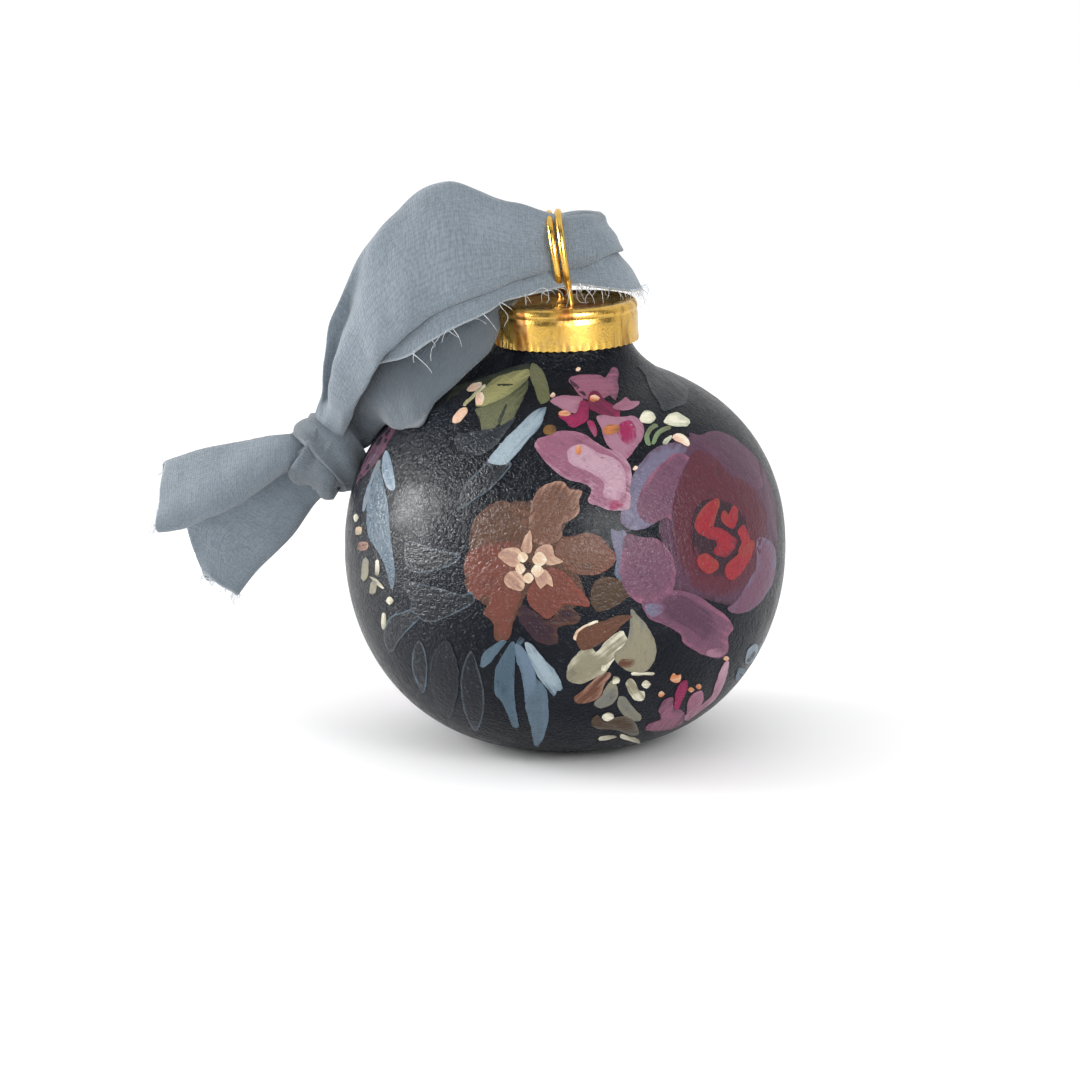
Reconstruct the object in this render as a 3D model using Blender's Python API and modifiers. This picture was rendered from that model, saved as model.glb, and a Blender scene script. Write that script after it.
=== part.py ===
"""A round glass ball ornament: hollow ball, crown cap, two-turn wire hanger and a knotted ribbon.

Metres, +Z up. The origin is the centre of the ball's flat foot, the front is -Y and the ribbon lies to -X.
"""

from math import cos, pi, radians, sin

import bmesh
import bpy
from mathutils import Vector

MM = 0.001

# Glass ball: a flat foot, an elliptical lower half, a fuller upper half and a straight neck
BALL_RADIUS = 40.0 * MM
FOOT_RADIUS = 10.0 * MM
EQUATOR_Z = 34.8 * MM
CROWN_RISE = 34.9 * MM  # from the equator to where the upper half would close
CROWN_FULLNESS = 2.234  # 2 is an ellipse, more is squarer
SHOULDER_RADIUS = 17.5 * MM  # where the fillet to the neck starts
NECK_RADIUS = 11.6 * MM
NECK_FOOT_Z = 74.0 * MM
NECK_TOP_Z = 78.5 * MM
GLASS = 1.4 * MM

# Crown cap, tilted a little on the neck
CAP_RADIUS = 12.9 * MM
CAP_RIM_Z = 72.9 * MM
CAP_TOP_Z = 80.3 * MM
CAP_SHEET = 0.45 * MM
CAP_EDGE_ROUND = 1.1 * MM
CAP_DISH = 0.35 * MM
CAP_X = 0.3 * MM
CAP_TILT = radians(-2.0)
LEG_HOLE_RADIUS = 1.0 * MM

# Wire hanger: two turns, and two legs that spring against the inside of the neck
WIRE_RADIUS = 0.65 * MM
LEG_HOLES_X = 0.2 * MM  # from the cap's own axis
HANGER_LEAN = radians(-8.5)
LEG_SPACING = 9.6 * MM
LOOP_WIDTH = 12.0 * MM
LOOP_HEIGHT = 14.7 * MM
LOOP_FOOT = 1.4 * MM  # from the cap's top to the loop's lowest wire
TURN_OFFSET = 0.95 * MM  # of each turn from the loop's middle plane, at the top
LEG_OFFSET = 0.75 * MM  # of each leg from it
LEG_JOIN = 0.93  # angle round the loop from its lowest point to where a leg meets its turn
LEG_SPREAD = 8.4 * MM  # of each leg's tip from the middle
LEG_DEPTH = 17.0 * MM

# Ribbon: knot, and the swinging strands' axis at the middle of the wire loop
RIBBON_PIVOT = Vector((-1.0, 0.0, 89.0)) * MM
KNOT_CENTRE = Vector((-44.7, 5.5, 51.5)) * MM
KNOT_HALF_SIZE = Vector((6.6, 6.6, 8.3)) * MM

# Each ribbon run's stations, in mm: upper edge, lower edge, half thickness
BIGHT = [
    ((-6.5, -0.5, 93.5), (-6.5, -1.5, 85.0), 2.0),
    ((-1.5, 0.0, 95.0), (-0.5, -1.5, 84.8), 2.2),
    ((4.0, 1.0, 96.0), (5.0, 0.5, 85.0), 2.0),
    ((7.5, 4.5, 96.0), (9.8, 4.8, 84.0), 1.6),
    ((5.5, 8.8, 95.5), (9.5, 9.8, 82.7), 1.6),
    ((0.0, 9.6, 94.5), (2.0, 10.6, 82.7), 1.8),
    ((-6.5, 9.6, 93.5), (-6.0, 10.6, 84.0), 1.8),
]
FRONT_STRAND = [
    ((-9.6, -0.5, 98.5), (-9.6, -5.0, 82.5), 2.2),
    ((-16.0, 0.0, 101.5), (-14.0, -8.0, 80.0), 2.6),
    ((-23.0, 0.0, 103.0), (-20.0, -10.5, 77.5), 2.8),
    ((-31.0, 0.0, 98.0), (-26.0, -11.5, 73.5), 2.8),
    ((-38.0, -0.5, 89.0), (-30.5, -11.0, 69.0), 2.8),
    ((-42.0, -0.5, 79.0), (-34.5, -9.0, 64.5), 2.6),
    ((-44.0, 0.0, 69.0), (-37.0, -5.0, 62.0), 2.4),
    ((-46.5, 1.5, 62.0), (-38.0, 1.0, 61.2), 2.2),
]
BACK_STRAND = [
    ((-9.6, 9.6, 95.0), (-9.6, 11.5, 81.5), 2.0),
    ((-20.0, 10.5, 97.5), (-17.0, 14.0, 77.0), 2.4),
    ((-31.0, 11.0, 93.0), (-26.0, 14.5, 71.0), 2.4),
    ((-38.5, 10.5, 84.0), (-32.5, 14.0, 66.0), 2.4),
    ((-43.0, 9.5, 73.0), (-36.5, 12.5, 63.5), 2.2),
    ((-45.5, 8.5, 63.5), (-38.5, 10.0, 62.0), 2.0),
]
UPPER_TAIL = [
    ((-51.9, 6.0, 53.5), (-51.9, 2.0, 48.5), 2.0),
    ((-60.0, 8.0, 51.5), (-60.0, -3.0, 44.0), 2.0),
    ((-68.0, 9.0, 49.5), (-68.0, -6.0, 41.0), 1.6),
    ((-73.0, 9.0, 48.0), (-73.5, -6.0, 39.8), 1.2),
]
LOWER_TAIL = [
    ((-52.2, 9.5, 46.5), (-45.5, 9.5, 41.3), 1.6),
    ((-59.5, 11.0, 43.0), (-48.0, 9.5, 36.5), 1.6),
    ((-69.5, 11.5, 38.5), (-54.0, 9.5, 31.0), 1.5),
    ((-67.0, 11.5, 27.5), (-60.5, 10.0, 23.3), 1.2),
]

ROUND_STEPS = 56
WIRE_POINTS = 72


def clear_scene():
    for obj in list(bpy.data.objects):
        bpy.data.objects.remove(obj, do_unlink=True)


def new_collection(name):
    collection = bpy.data.collections.new(name)
    bpy.context.scene.collection.children.link(collection)
    return collection


def finish(name, colour, roughness, metallic=0.0):
    material = bpy.data.materials.new(name)
    material.use_nodes = True
    shader = material.node_tree.nodes["Principled BSDF"]
    shader.inputs["Base Color"].default_value = (*colour, 1.0)
    shader.inputs["Roughness"].default_value = roughness
    shader.inputs["Metallic"].default_value = metallic
    return material


def add_object(name, data, collection, material=None, parent=None):
    obj = bpy.data.objects.new(name, data)
    collection.objects.link(obj)
    if material:
        data.materials.append(material)
    obj.parent = parent
    return obj


def add_pivot(name, collection, location, lean=0.0, parent=None):
    """An empty on a joint's axis, leaning about Y."""
    pivot = add_object(name, None, collection, parent=parent)
    pivot.location = location
    pivot.rotation_euler = (0.0, lean, 0.0)
    return pivot


def add_turned(name, profile, closed, collection, material, parent=None):
    """A shape turned about Z from (radius, height) points that run down its outer side."""
    mesh = bpy.data.meshes.new(name)
    last = len(profile) - 1
    edges = [(i, i + 1) for i in range(last)] + ([(last, 0)] if closed else [])
    mesh.from_pydata([(r, 0.0, z) for r, z in profile], edges, [])
    obj = add_object(name, mesh, collection, material, parent)
    screw = obj.modifiers.new("Turn", "SCREW")
    screw.steps = screw.render_steps = ROUND_STEPS
    screw.use_merge_vertices = True
    screw.merge_threshold = 0.00001
    screw.use_smooth_shade = True
    return obj


def bezier(start, control, end, count):
    """Points of a quadratic curve, its start left out."""
    steps = [i / count for i in range(1, count + 1)]
    return [
        tuple((1 - t) ** 2 * a + 2 * t * (1 - t) * b + t * t * c for a, b, c in zip(start, control, end))
        for t in steps
    ]


def crown_height(radius):
    """Height of the ball's upper half at this radius."""
    return EQUATOR_Z + CROWN_RISE * (1 - (radius / BALL_RADIUS) ** CROWN_FULLNESS) ** (1 / CROWN_FULLNESS)


def ball_profile():
    """The shell's outer side from the neck to the foot, then its inner side back up."""
    shoulder = (SHOULDER_RADIUS, crown_height(SHOULDER_RADIUS))
    outer = [(NECK_RADIUS, NECK_TOP_Z), (NECK_RADIUS, NECK_FOOT_Z)]
    outer += bezier(outer[-1], (NECK_RADIUS + 0.3 * MM, shoulder[1] + 3.6 * MM), shoulder, 6)
    outer += [(r * MM, crown_height(r * MM)) for r in (21.5, 25.5, 29.0, 32.0, 34.5, 36.5, 38.0, 39.2, 39.85)]
    belly = BALL_RADIUS - FOOT_RADIUS
    for step in range(11):
        turn = radians(90 - 9 * step)
        outer.append((FOOT_RADIUS + belly * sin(turn), EQUATOR_Z * (1 - cos(turn))))
    outer.append((0.0, 0.0))

    inside = BALL_RADIUS - GLASS
    inner = [(0.0, GLASS)]
    for step in range(1, 10):
        turn = radians(10 * step)
        inner.append((inside * sin(turn) ** 0.9, EQUATOR_Z - (EQUATOR_Z - GLASS) * cos(turn)))
    scale = inside / BALL_RADIUS
    for radius in (37.5, 34.0, 29.0, 23.0, 17.0):
        inner.append((radius * MM * scale, crown_height(radius * MM) - 1.3 * GLASS))
    bore = NECK_RADIUS - GLASS
    inner += [(bore, NECK_FOOT_Z - 5.2 * MM), (bore, NECK_TOP_Z)]
    return outer + inner


def make_ball(collection):
    paint = finish("painted_glass", (0.012, 0.015, 0.022), 0.42)
    return add_turned("glass_ball", ball_profile(), True, collection, paint)


def cap_profile():
    """The cap's sheet about its own axis, from the top's middle round the rim to the underside's middle."""
    height = CAP_TOP_Z - CAP_RIM_Z
    outer = [(0.0, height - CAP_DISH), (CAP_RADIUS - 2.6 * MM, height - CAP_DISH)]
    outer.append((CAP_RADIUS - 1.9 * MM, height))
    for step in range(1, 5):
        turn = radians(22.5 * step)
        outer.append((
            CAP_RADIUS - CAP_EDGE_ROUND * (1 - sin(turn)),
            height - CAP_EDGE_ROUND * (1 - cos(turn)),
        ))
    outer.append((CAP_RADIUS, 0.0))
    inner_radius = CAP_RADIUS - CAP_SHEET
    inner_top = height - CAP_DISH - CAP_SHEET
    inner = [(inner_radius, 0.0), (inner_radius, inner_top - 0.5 * MM)]
    inner += [(inner_radius - 0.5 * MM, inner_top), (0.0, inner_top)]
    return outer + inner


def make_cap(collection, cutters, brass, pivot, hole_places):
    cap = add_turned("crown_cap", cap_profile(), False, collection, brass, pivot)
    height = CAP_TOP_Z - CAP_RIM_Z
    for number, place in enumerate(hole_places, 1):
        mesh = bpy.data.meshes.new("leg_hole")
        shape = bmesh.new()
        bmesh.ops.create_cone(
            shape, cap_ends=True, segments=16,
            radius1=LEG_HOLE_RADIUS, radius2=LEG_HOLE_RADIUS, depth=3 * MM,
        )
        shape.to_mesh(mesh)
        shape.free()
        hole = add_object(f"leg_hole_{number}", mesh, cutters, parent=pivot)
        hole.location = (place[0], place[1], height)
        hole.hide_render = True
        hole.display_type = "WIRE"
        cut = cap.modifiers.new(f"Leg hole {number}", "BOOLEAN")
        cut.operation = "DIFFERENCE"
        cut.object = hole
    return cap


def smooth(t):
    t = min(max(t, 0.0), 1.0)
    return t * t * (3 - 2 * t)


def hanger_route():
    """The wire's middle line in the hanger's own upright frame, its origin between the leg holes."""
    half_gap = LEG_SPACING / 2
    middle = LOOP_FOOT + LOOP_HEIGHT / 2
    leg = [
        (LEG_OFFSET, -LEG_SPREAD, -LEG_DEPTH),
        (LEG_OFFSET, -0.86 * LEG_SPREAD, -0.62 * LEG_DEPTH),
        (LEG_OFFSET, -half_gap - 1.2 * MM, -0.25 * LEG_DEPTH),
        (LEG_OFFSET, -half_gap - 0.1 * MM, -1.5 * MM),
        (LEG_OFFSET, -half_gap, 0.6 * MM),
    ]
    turns = []
    for step in range(WIRE_POINTS + 1):
        angle = LEG_JOIN + (4 * pi - 2 * LEG_JOIN) * step / WIRE_POINTS
        side = 1 - 2 * smooth((angle - (2 * pi - 1.1)) / 2.2)
        offset = side * (LEG_OFFSET + (TURN_OFFSET - LEG_OFFSET) * (1 - cos(angle)) / 2)
        turns.append((
            offset,
            -LOOP_WIDTH / 2 * sin(angle),
            middle - LOOP_HEIGHT / 2 * cos(angle),
        ))
    other_leg = [(-x, -y, z) for x, y, z in reversed(leg)]
    return leg + turns + other_leg


def make_hanger(collection, brass, pivot):
    curve = bpy.data.curves.new("wire_hanger", "CURVE")
    curve.dimensions = "3D"
    curve.bevel_depth = WIRE_RADIUS
    curve.bevel_resolution = 2
    curve.use_fill_caps = True
    route = hanger_route()
    spline = curve.splines.new("POLY")
    spline.points.add(len(route) - 1)
    for point, place in zip(spline.points, route):
        point.co = (*place, 1.0)
    return add_object("wire_hanger", curve, collection, brass, pivot)


def between(stations, position):
    """A station's values at a fractional position, on a smooth curve through the stations."""
    first = min(int(position), len(stations) - 2)
    t = position - first
    a, b, c, d = (stations[min(max(i, 0), len(stations) - 1)] for i in range(first - 1, first + 3))
    return 0.5 * (2 * b + (c - a) * t + (2 * a - 5 * b + 4 * c - d) * t * t + (3 * b - a - 3 * c + d) * t**3)


def make_run(name, stations, collection, material, pivot, around=12, rings_each=3):
    """One closed run of ribbon, lofted through flat oval sections."""
    tops = [Vector(top) * MM for top, _, _ in stations]
    bottoms = [Vector(bottom) * MM for _, bottom, _ in stations]
    halves = [Vector((half * MM, 0.0, 0.0)) for _, _, half in stations]
    count = (len(stations) - 1) * rings_each
    places = [(between(tops, i / rings_each), between(bottoms, i / rings_each)) for i in range(count + 1)]
    middles = [(top + bottom) / 2 for top, bottom in places]
    shape = bmesh.new()
    rings = []
    for i, (top, bottom) in enumerate(places):
        along = middles[min(i + 1, count)] - middles[max(i - 1, 0)]
        rise = (top - bottom) / 2
        out = along.cross(rise).normalized() * between(halves, i / rings_each).x
        ring = []
        for corner in range(around):
            turn = 2 * pi * corner / around
            place = middles[i] + rise * cos(turn) + out * sin(turn)
            ring.append(shape.verts.new(place - pivot.location))
        rings.append(ring)
    for ring, following in zip(rings, rings[1:]):
        for corner in range(around):
            after = (corner + 1) % around
            shape.faces.new((ring[corner], ring[after], following[after], following[corner]))
    shape.faces.new(rings[0])
    shape.faces.new(reversed(rings[-1]))
    bmesh.ops.recalc_face_normals(shape, faces=shape.faces)
    mesh = bpy.data.meshes.new(name)
    shape.to_mesh(mesh)
    shape.free()
    mesh.shade_smooth()
    return add_object(name, mesh, collection, material, pivot)


def make_knot(collection, material, pivot):
    shape = bmesh.new()
    bmesh.ops.create_uvsphere(shape, u_segments=20, v_segments=12, radius=1.0)
    bmesh.ops.scale(shape, vec=KNOT_HALF_SIZE, verts=shape.verts)
    bmesh.ops.translate(shape, vec=KNOT_CENTRE - pivot.location, verts=shape.verts)
    mesh = bpy.data.meshes.new("ribbon_knot")
    shape.to_mesh(mesh)
    shape.free()
    mesh.shade_smooth()
    return add_object("ribbon_knot", mesh, collection, material, pivot)


def main():
    clear_scene()
    parts = new_collection("glass_ball_ornament")
    cutters = new_collection("cutters")
    brass = finish("brass", (0.78, 0.55, 0.18), 0.22, 1.0)
    chiffon = finish("chiffon", (0.25, 0.32, 0.39), 0.9)

    make_ball(parts)
    cap_pivot = add_pivot("cap_seat", parts, (CAP_X, 0.0, CAP_RIM_Z), CAP_TILT)
    sheet_z = CAP_TOP_Z - CAP_RIM_Z - CAP_DISH
    holes = [
        (LEG_HOLES_X + LEG_OFFSET, -LEG_SPACING / 2),
        (LEG_HOLES_X - LEG_OFFSET, LEG_SPACING / 2),
    ]
    make_cap(parts, cutters, brass, cap_pivot, holes)
    lean_in_cap = HANGER_LEAN - CAP_TILT
    hanger_pivot = add_pivot("hanger_legs", parts, (LEG_HOLES_X, 0.0, sheet_z), lean_in_cap, cap_pivot)
    make_hanger(parts, brass, hanger_pivot)

    ribbon_pivot = add_pivot("ribbon_in_loop", parts, RIBBON_PIVOT)
    make_run("ribbon_bight", BIGHT, parts, chiffon, ribbon_pivot)
    make_run("ribbon_front_strand", FRONT_STRAND, parts, chiffon, ribbon_pivot)
    make_run("ribbon_back_strand", BACK_STRAND, parts, chiffon, ribbon_pivot)
    make_knot(parts, chiffon, ribbon_pivot)
    make_run("ribbon_upper_tail", UPPER_TAIL, parts, chiffon, ribbon_pivot)
    make_run("ribbon_lower_tail", LOWER_TAIL, parts, chiffon, ribbon_pivot)


main()
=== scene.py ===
"""The looks of a painted glass ball ornament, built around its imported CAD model.

Sizes are in millimetres where they are drawn and in metres in the meshes, +Z is up and the front is -Y.
"""

import random
from math import atan2, cos, hypot, pi, radians, sin

import bmesh
import bpy
from bpy.props import FloatProperty, FloatVectorProperty, IntProperty, PointerProperty
from mathutils import Matrix, Vector, noise
from mathutils.bvhtree import BVHTree
from mathutils.geometry import delaunay_2d_cdt


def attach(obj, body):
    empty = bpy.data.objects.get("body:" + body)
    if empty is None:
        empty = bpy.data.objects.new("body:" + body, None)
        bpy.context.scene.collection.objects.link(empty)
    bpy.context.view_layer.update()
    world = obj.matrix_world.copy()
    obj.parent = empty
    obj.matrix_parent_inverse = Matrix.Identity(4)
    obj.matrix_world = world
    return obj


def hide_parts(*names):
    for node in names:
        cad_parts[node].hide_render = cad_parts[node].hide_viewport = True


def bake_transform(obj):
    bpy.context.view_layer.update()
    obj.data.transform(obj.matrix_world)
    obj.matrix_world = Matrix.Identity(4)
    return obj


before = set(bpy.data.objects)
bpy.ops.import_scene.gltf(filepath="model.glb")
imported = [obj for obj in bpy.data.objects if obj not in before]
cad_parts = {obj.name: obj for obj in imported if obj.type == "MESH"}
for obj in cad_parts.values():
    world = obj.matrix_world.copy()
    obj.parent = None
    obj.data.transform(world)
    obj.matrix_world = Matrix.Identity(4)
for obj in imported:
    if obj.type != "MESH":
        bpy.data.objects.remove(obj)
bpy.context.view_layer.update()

bl_info = {
    "name": "Painted Ball Ornament",
    "version": (1, 0, 0),
    "blender": (4, 5, 0),
    "location": "3D View > Sidebar > Ornament",
    "description": "Builds a painted glass ball with its brass cap, wire hanger and chiffon ribbon",
    "category": "Add Mesh",
}

MM = 0.001

# Ball, as in the CAD model
BALL_RADIUS = 40.0
FOOT_RADIUS = 10.0
EQUATOR = 34.8
CROWN_RISE = 34.9
CROWN_FULLNESS = 2.234
SHOULDER = 17.5
NECK_RADIUS = 11.6
NECK_FOOT = 74.0
NECK_TOP = 78.5
GLASS = 1.4

# Cap, in its own frame
CAP_RADIUS = 12.9
CAP_HEIGHT = 7.4
CAP_SHEET = 0.45
CAP_SEAT = Vector((0.3, 0.0, 72.9))
CAP_TILT = radians(-2.0)
LEG_HOLES = ((0.95, -4.8), (-0.55, 4.8))

# Wire, in its own frame
WIRE_RADIUS = 0.65
WIRE_PIVOT = Vector((0.254, 0.0, 79.953))
WIRE_LEAN = radians(-8.5)

# The painter's sheet: a plane through the ball, square to the line from the painter's eye
SHEET_MIDDLE = Vector((0.0, 0.0, 38.0))
EYE_DISTANCE = 700.0
EYE_RISE = radians(12.0)

# Ribbon: each station is an upper edge, a lower edge and half the gathered thickness
FRONT_RUN = [
    ((-46.0, 3.5, 54.5), (-40.5, 3.0, 53.5), 1.8),
    ((-45.8, 2.5, 59.0), (-38.5, 1.5, 57.0), 2.2),
    ((-44.6, 1.5, 63.5), (-36.8, -1.5, 60.0), 2.4),
    ((-43.2, 0.0, 70.5), (-35.4, -6.0, 62.5), 2.5),
    ((-41.2, -0.5, 79.5), (-33.2, -9.0, 65.5), 2.6),
    ((-37.0, -0.5, 89.0), (-29.8, -11.0, 69.5), 2.8),
    ((-30.2, 0.0, 97.5), (-25.6, -11.5, 73.8), 2.8),
    ((-23.0, 0.0, 102.2), (-20.0, -10.5, 77.5), 2.8),
    ((-16.0, 0.0, 101.0), (-14.0, -8.0, 80.2), 2.6),
    ((-9.6, -0.5, 98.0), (-9.6, -5.0, 82.5), 2.2),
]
BIGHT = [
    ((-1.5, 0.0, 95.0), (-0.5, -1.5, 84.8), 2.2),
    ((3.6, 1.0, 95.4), (4.6, 0.5, 84.8), 2.0),
    ((6.2, 4.5, 95.2), (8.8, 4.8, 83.6), 1.6),
    ((4.5, 8.8, 94.8), (8.7, 9.8, 82.7), 1.6),
    ((0.0, 9.6, 94.5), (2.0, 10.6, 82.7), 1.8),
]
BACK_RUN = [
    ((-9.6, 9.6, 94.0), (-9.6, 12.0, 79.5), 2.0),
    ((-20.0, 10.5, 96.5), (-16.0, 14.0, 72.5), 2.2),
    ((-31.0, 11.0, 92.0), (-23.5, 14.0, 66.5), 2.2),
    ((-38.0, 10.5, 83.5), (-28.0, 13.0, 62.5), 2.2),
    ((-42.0, 9.5, 73.0), (-31.5, 11.0, 60.5), 2.2),
    ((-44.5, 8.5, 63.5), (-35.5, 9.5, 56.5), 2.0),
    ((-45.0, 8.0, 57.0), (-39.0, 8.0, 53.0), 1.6),
]
UPPER_TAIL = [
    ((-47.0, 6.0, 55.0), (-47.0, 4.0, 49.0), 2.0),
    ((-51.9, 6.0, 53.8), (-51.9, 2.0, 48.0), 2.0),
    ((-60.0, 8.0, 51.5), (-60.0, -3.0, 43.5), 2.4),
    ((-68.0, 9.0, 49.5), (-68.0, -6.0, 40.5), 2.4),
    ((-73.0, 9.0, 48.0), (-73.5, -6.0, 39.5), 2.0),
]
LOWER_TAIL = [
    ((-48.5, 7.5, 50.0), (-42.5, 7.5, 45.0), 1.6),
    ((-53.5, 9.5, 46.0), (-46.0, 9.5, 41.0), 1.8),
    ((-61.0, 11.0, 42.5), (-49.5, 9.5, 36.0), 1.9),
    ((-69.5, 11.5, 38.5), (-55.0, 9.5, 30.5), 1.8),
    ((-66.5, 11.5, 27.5), (-60.5, 10.0, 23.6), 1.4),
]
KNOT_MIDDLE = Vector((-42.9, 4.6, 51.3))
KNOT_HALF_SIZE = Vector((8.1, 6.8, 9.4))

# Each section is the ribbon's width folded up: height from 0 to 1, depth in half thicknesses
STRAND_FOLD = [
    (-0.06, 0.8), (0.1, 0.68), (0.3, 0.6), (0.4, 0.75), (0.26, 0.88), (0.1, 1.0), (0.17, 1.18), (0.47, 1.15),
    (0.76, 0.95), (0.9, 0.6), (0.95, 0.0), (0.9, -0.6), (0.62, -0.9), (0.3, -1.0), (0.0, -1.1), (-0.36, -1.2),
]
KNOT_END_FOLD = [
    (0.25, 0.6), (0.33, 0.55), (0.42, 0.6), (0.4, 0.8), (0.2, 0.9), (0.06, 1.0), (0.14, 1.18), (0.45, 1.15),
    (0.74, 0.95), (0.9, 0.6), (0.95, 0.0), (0.85, -0.6), (0.4, -0.7), (-0.1, -0.4), (-0.55, -0.2), (-0.95, -0.1),
]
BIGHT_FOLD = [
    (-0.2, 1.5), (0.08, 0.9), (0.36, 0.5), (0.48, 0.6), (0.3, 0.8), (0.12, 1.0), (0.16, 1.25), (0.4, 1.3),
    (0.75, 1.1), (0.97, 0.7), (1.0, 0.1), (0.8, -0.3), (0.35, -0.35), (0.2, -0.6), (0.6, -0.9), (0.1, -1.0),
]
TURN_FOLD = [
    (-0.27, 2.4), (0.05, 1.8), (0.38, 1.0), (0.6, 0.8), (0.52, 0.9), (0.36, 1.05), (0.42, 1.35), (0.62, 1.35),
    (0.85, 1.0), (0.97, 0.7), (1.0, 0.1), (0.8, -0.3), (0.35, -0.35), (0.2, -0.6), (0.6, -0.9), (0.1, -1.0),
]
TAIL_FOLD = [
    (0.3, 0.2), (0.55, 0.35), (0.8, 0.5), (0.98, 0.85), (0.75, 1.1), (0.4, 1.05), (0.1, 0.8),
    (0.0, 0.1), (0.05, -0.6), (0.3, -0.95), (0.65, -1.05), (0.95, -0.8), (1.04, -0.3), (0.85, 0.0), (0.6, 0.05),
]

PIGMENTS = {
    "leaf": "a8a672", "olive": "6e7052", "moss": "3d4534", "sap": "636b47", "cream": "faf5de", "peach": "f8ccb2",
    "night": "161b23", "slate": "22272e", "steel": "5c707f", "sky": "6c8195", "ice": "a3b4bf", "lake": "4c6272",
    "mauve": "9b627a", "rose": "ad7c91", "blush": "c6a0b0", "magenta": "9e2458", "wine": "6d2044",
    "orange": "d07d4c", "ochre": "866331", "umber": "5e3f2f", "coffee": "744e3d", "rust": "774236",
    "brick": "92443a", "taupe": "b88f7c", "sand": "eac6a6", "black": "101014", "plum": "5b3b50",
    "heather": "734b62", "fog": "77718a", "burgundy": "5e2b39", "scarlet": "9e2a36", "ground": "38222d",
    "bark": "503c2b", "chestnut": "6a4432", "beige": "969078", "stone": "7c7c74", "stem": "7f9672", "line": "3f454b",
}
# How much of its light a dried pigment gives back
PIGMENT_STRENGTH = 0.74

# Each motif is a list of strokes, in the order that they are painted: pigment, second pigment, outline on the sheet
GREEN_LEAVES = [
    ("moss", "slate", "-6.5,30 -10,29.5 -12.5,28.5 -17,27 -20,26 -21.5,23.5 -20,24.5 -15.5,26 -9,26"),
    ("olive", "moss", "-6.8,27.3 -6.8,25.7 -8,23 -9,21 -10,19.2 -11.4,18.6 -12,19.4 -13.5,17.5 -15,18 -15.5,20 -16.3,21.8 -14.6,22.6 -8.6,25.7"),
    ("moss", "slate", "-10.6,22.6 -11.2,20.8 -11.9,19.2 -12.2,20 -11.4,21.8 -10.9,22.8"),
    ("leaf", "olive", "-6.6,29.2 -9.8,28.6 -12.4,27.7 -14.6,25.8 -16.3,22.7 -14.6,22.6 -11.6,23.8 -8.6,25.7 -6.8,27.5"),
    ("olive", "sap", "-6.2,30.2 -5.1,29.9 -3.8,28.3 -3.1,26.2 -2.8,24.4 -3.1,23.3 -4.4,22.9 -5.1,24 -5.7,26.2 -6.4,27.9"),
    ("night", "slate", "-21.1,22.3 -20.3,23.6 -18.3,25.5 -17.4,24.7 -18.5,23.1 -20.5,21.6"),
    ("leaf", "cream", "-14.8,26.4 -16.5,24.9 -18.5,22.9 -18.2,22.5 -16.2,24.3 -14.5,26"),
    ("peach", "cream", "-17.7,25.1 -16.6,25.2 -15.2,26.2 -15.3,26.8 -16.6,26.6 -17.6,25.8"),
    ("peach", "cream", "-16,22.7 -15.1,22.8 -14.6,24 -15,24.9 -15.9,24.7 -16.3,23.6"),
    ("peach", "sand", "-20.4,19.5 -19.2,19.6 -17.8,21.3 -17.9,22.2 -19,22 -20.3,20.6"),
]
BLADE = [
    ("slate", "line", "-20,17 -17.5,17.7 -12.4,18.6 -9,20.5 -10.9,17.5 -13.1,14.9 -15.3,13.6 -17.2,13.8 -19.6,15.1"),
    ("line", "steel", "-13.9,12.5 -15.7,10.8 -17.7,8.8 -19,6.4 -19,4.5 -18.4,3.8 -16.6,5.3 -13.5,7.5 -11.2,9.9 -9.8,12.3"),
    ("night", "slate", "-13.7,12.1 -15.5,10.5 -17.4,8.5 -18.7,6.3 -18.7,4.6 -16.6,5.7 -13.6,7.8 -11.4,10.1 -10.2,12"),
    ("ice", "steel", "-3.8,22.3 -3.5,21.8 -4.4,19 -6.4,16.6 -8.3,14.4 -9.9,12.7 -11.2,11.8 -13.9,12.5 -10.9,16.4 -7.9,19.4 -6.1,21.2"),
]
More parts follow.
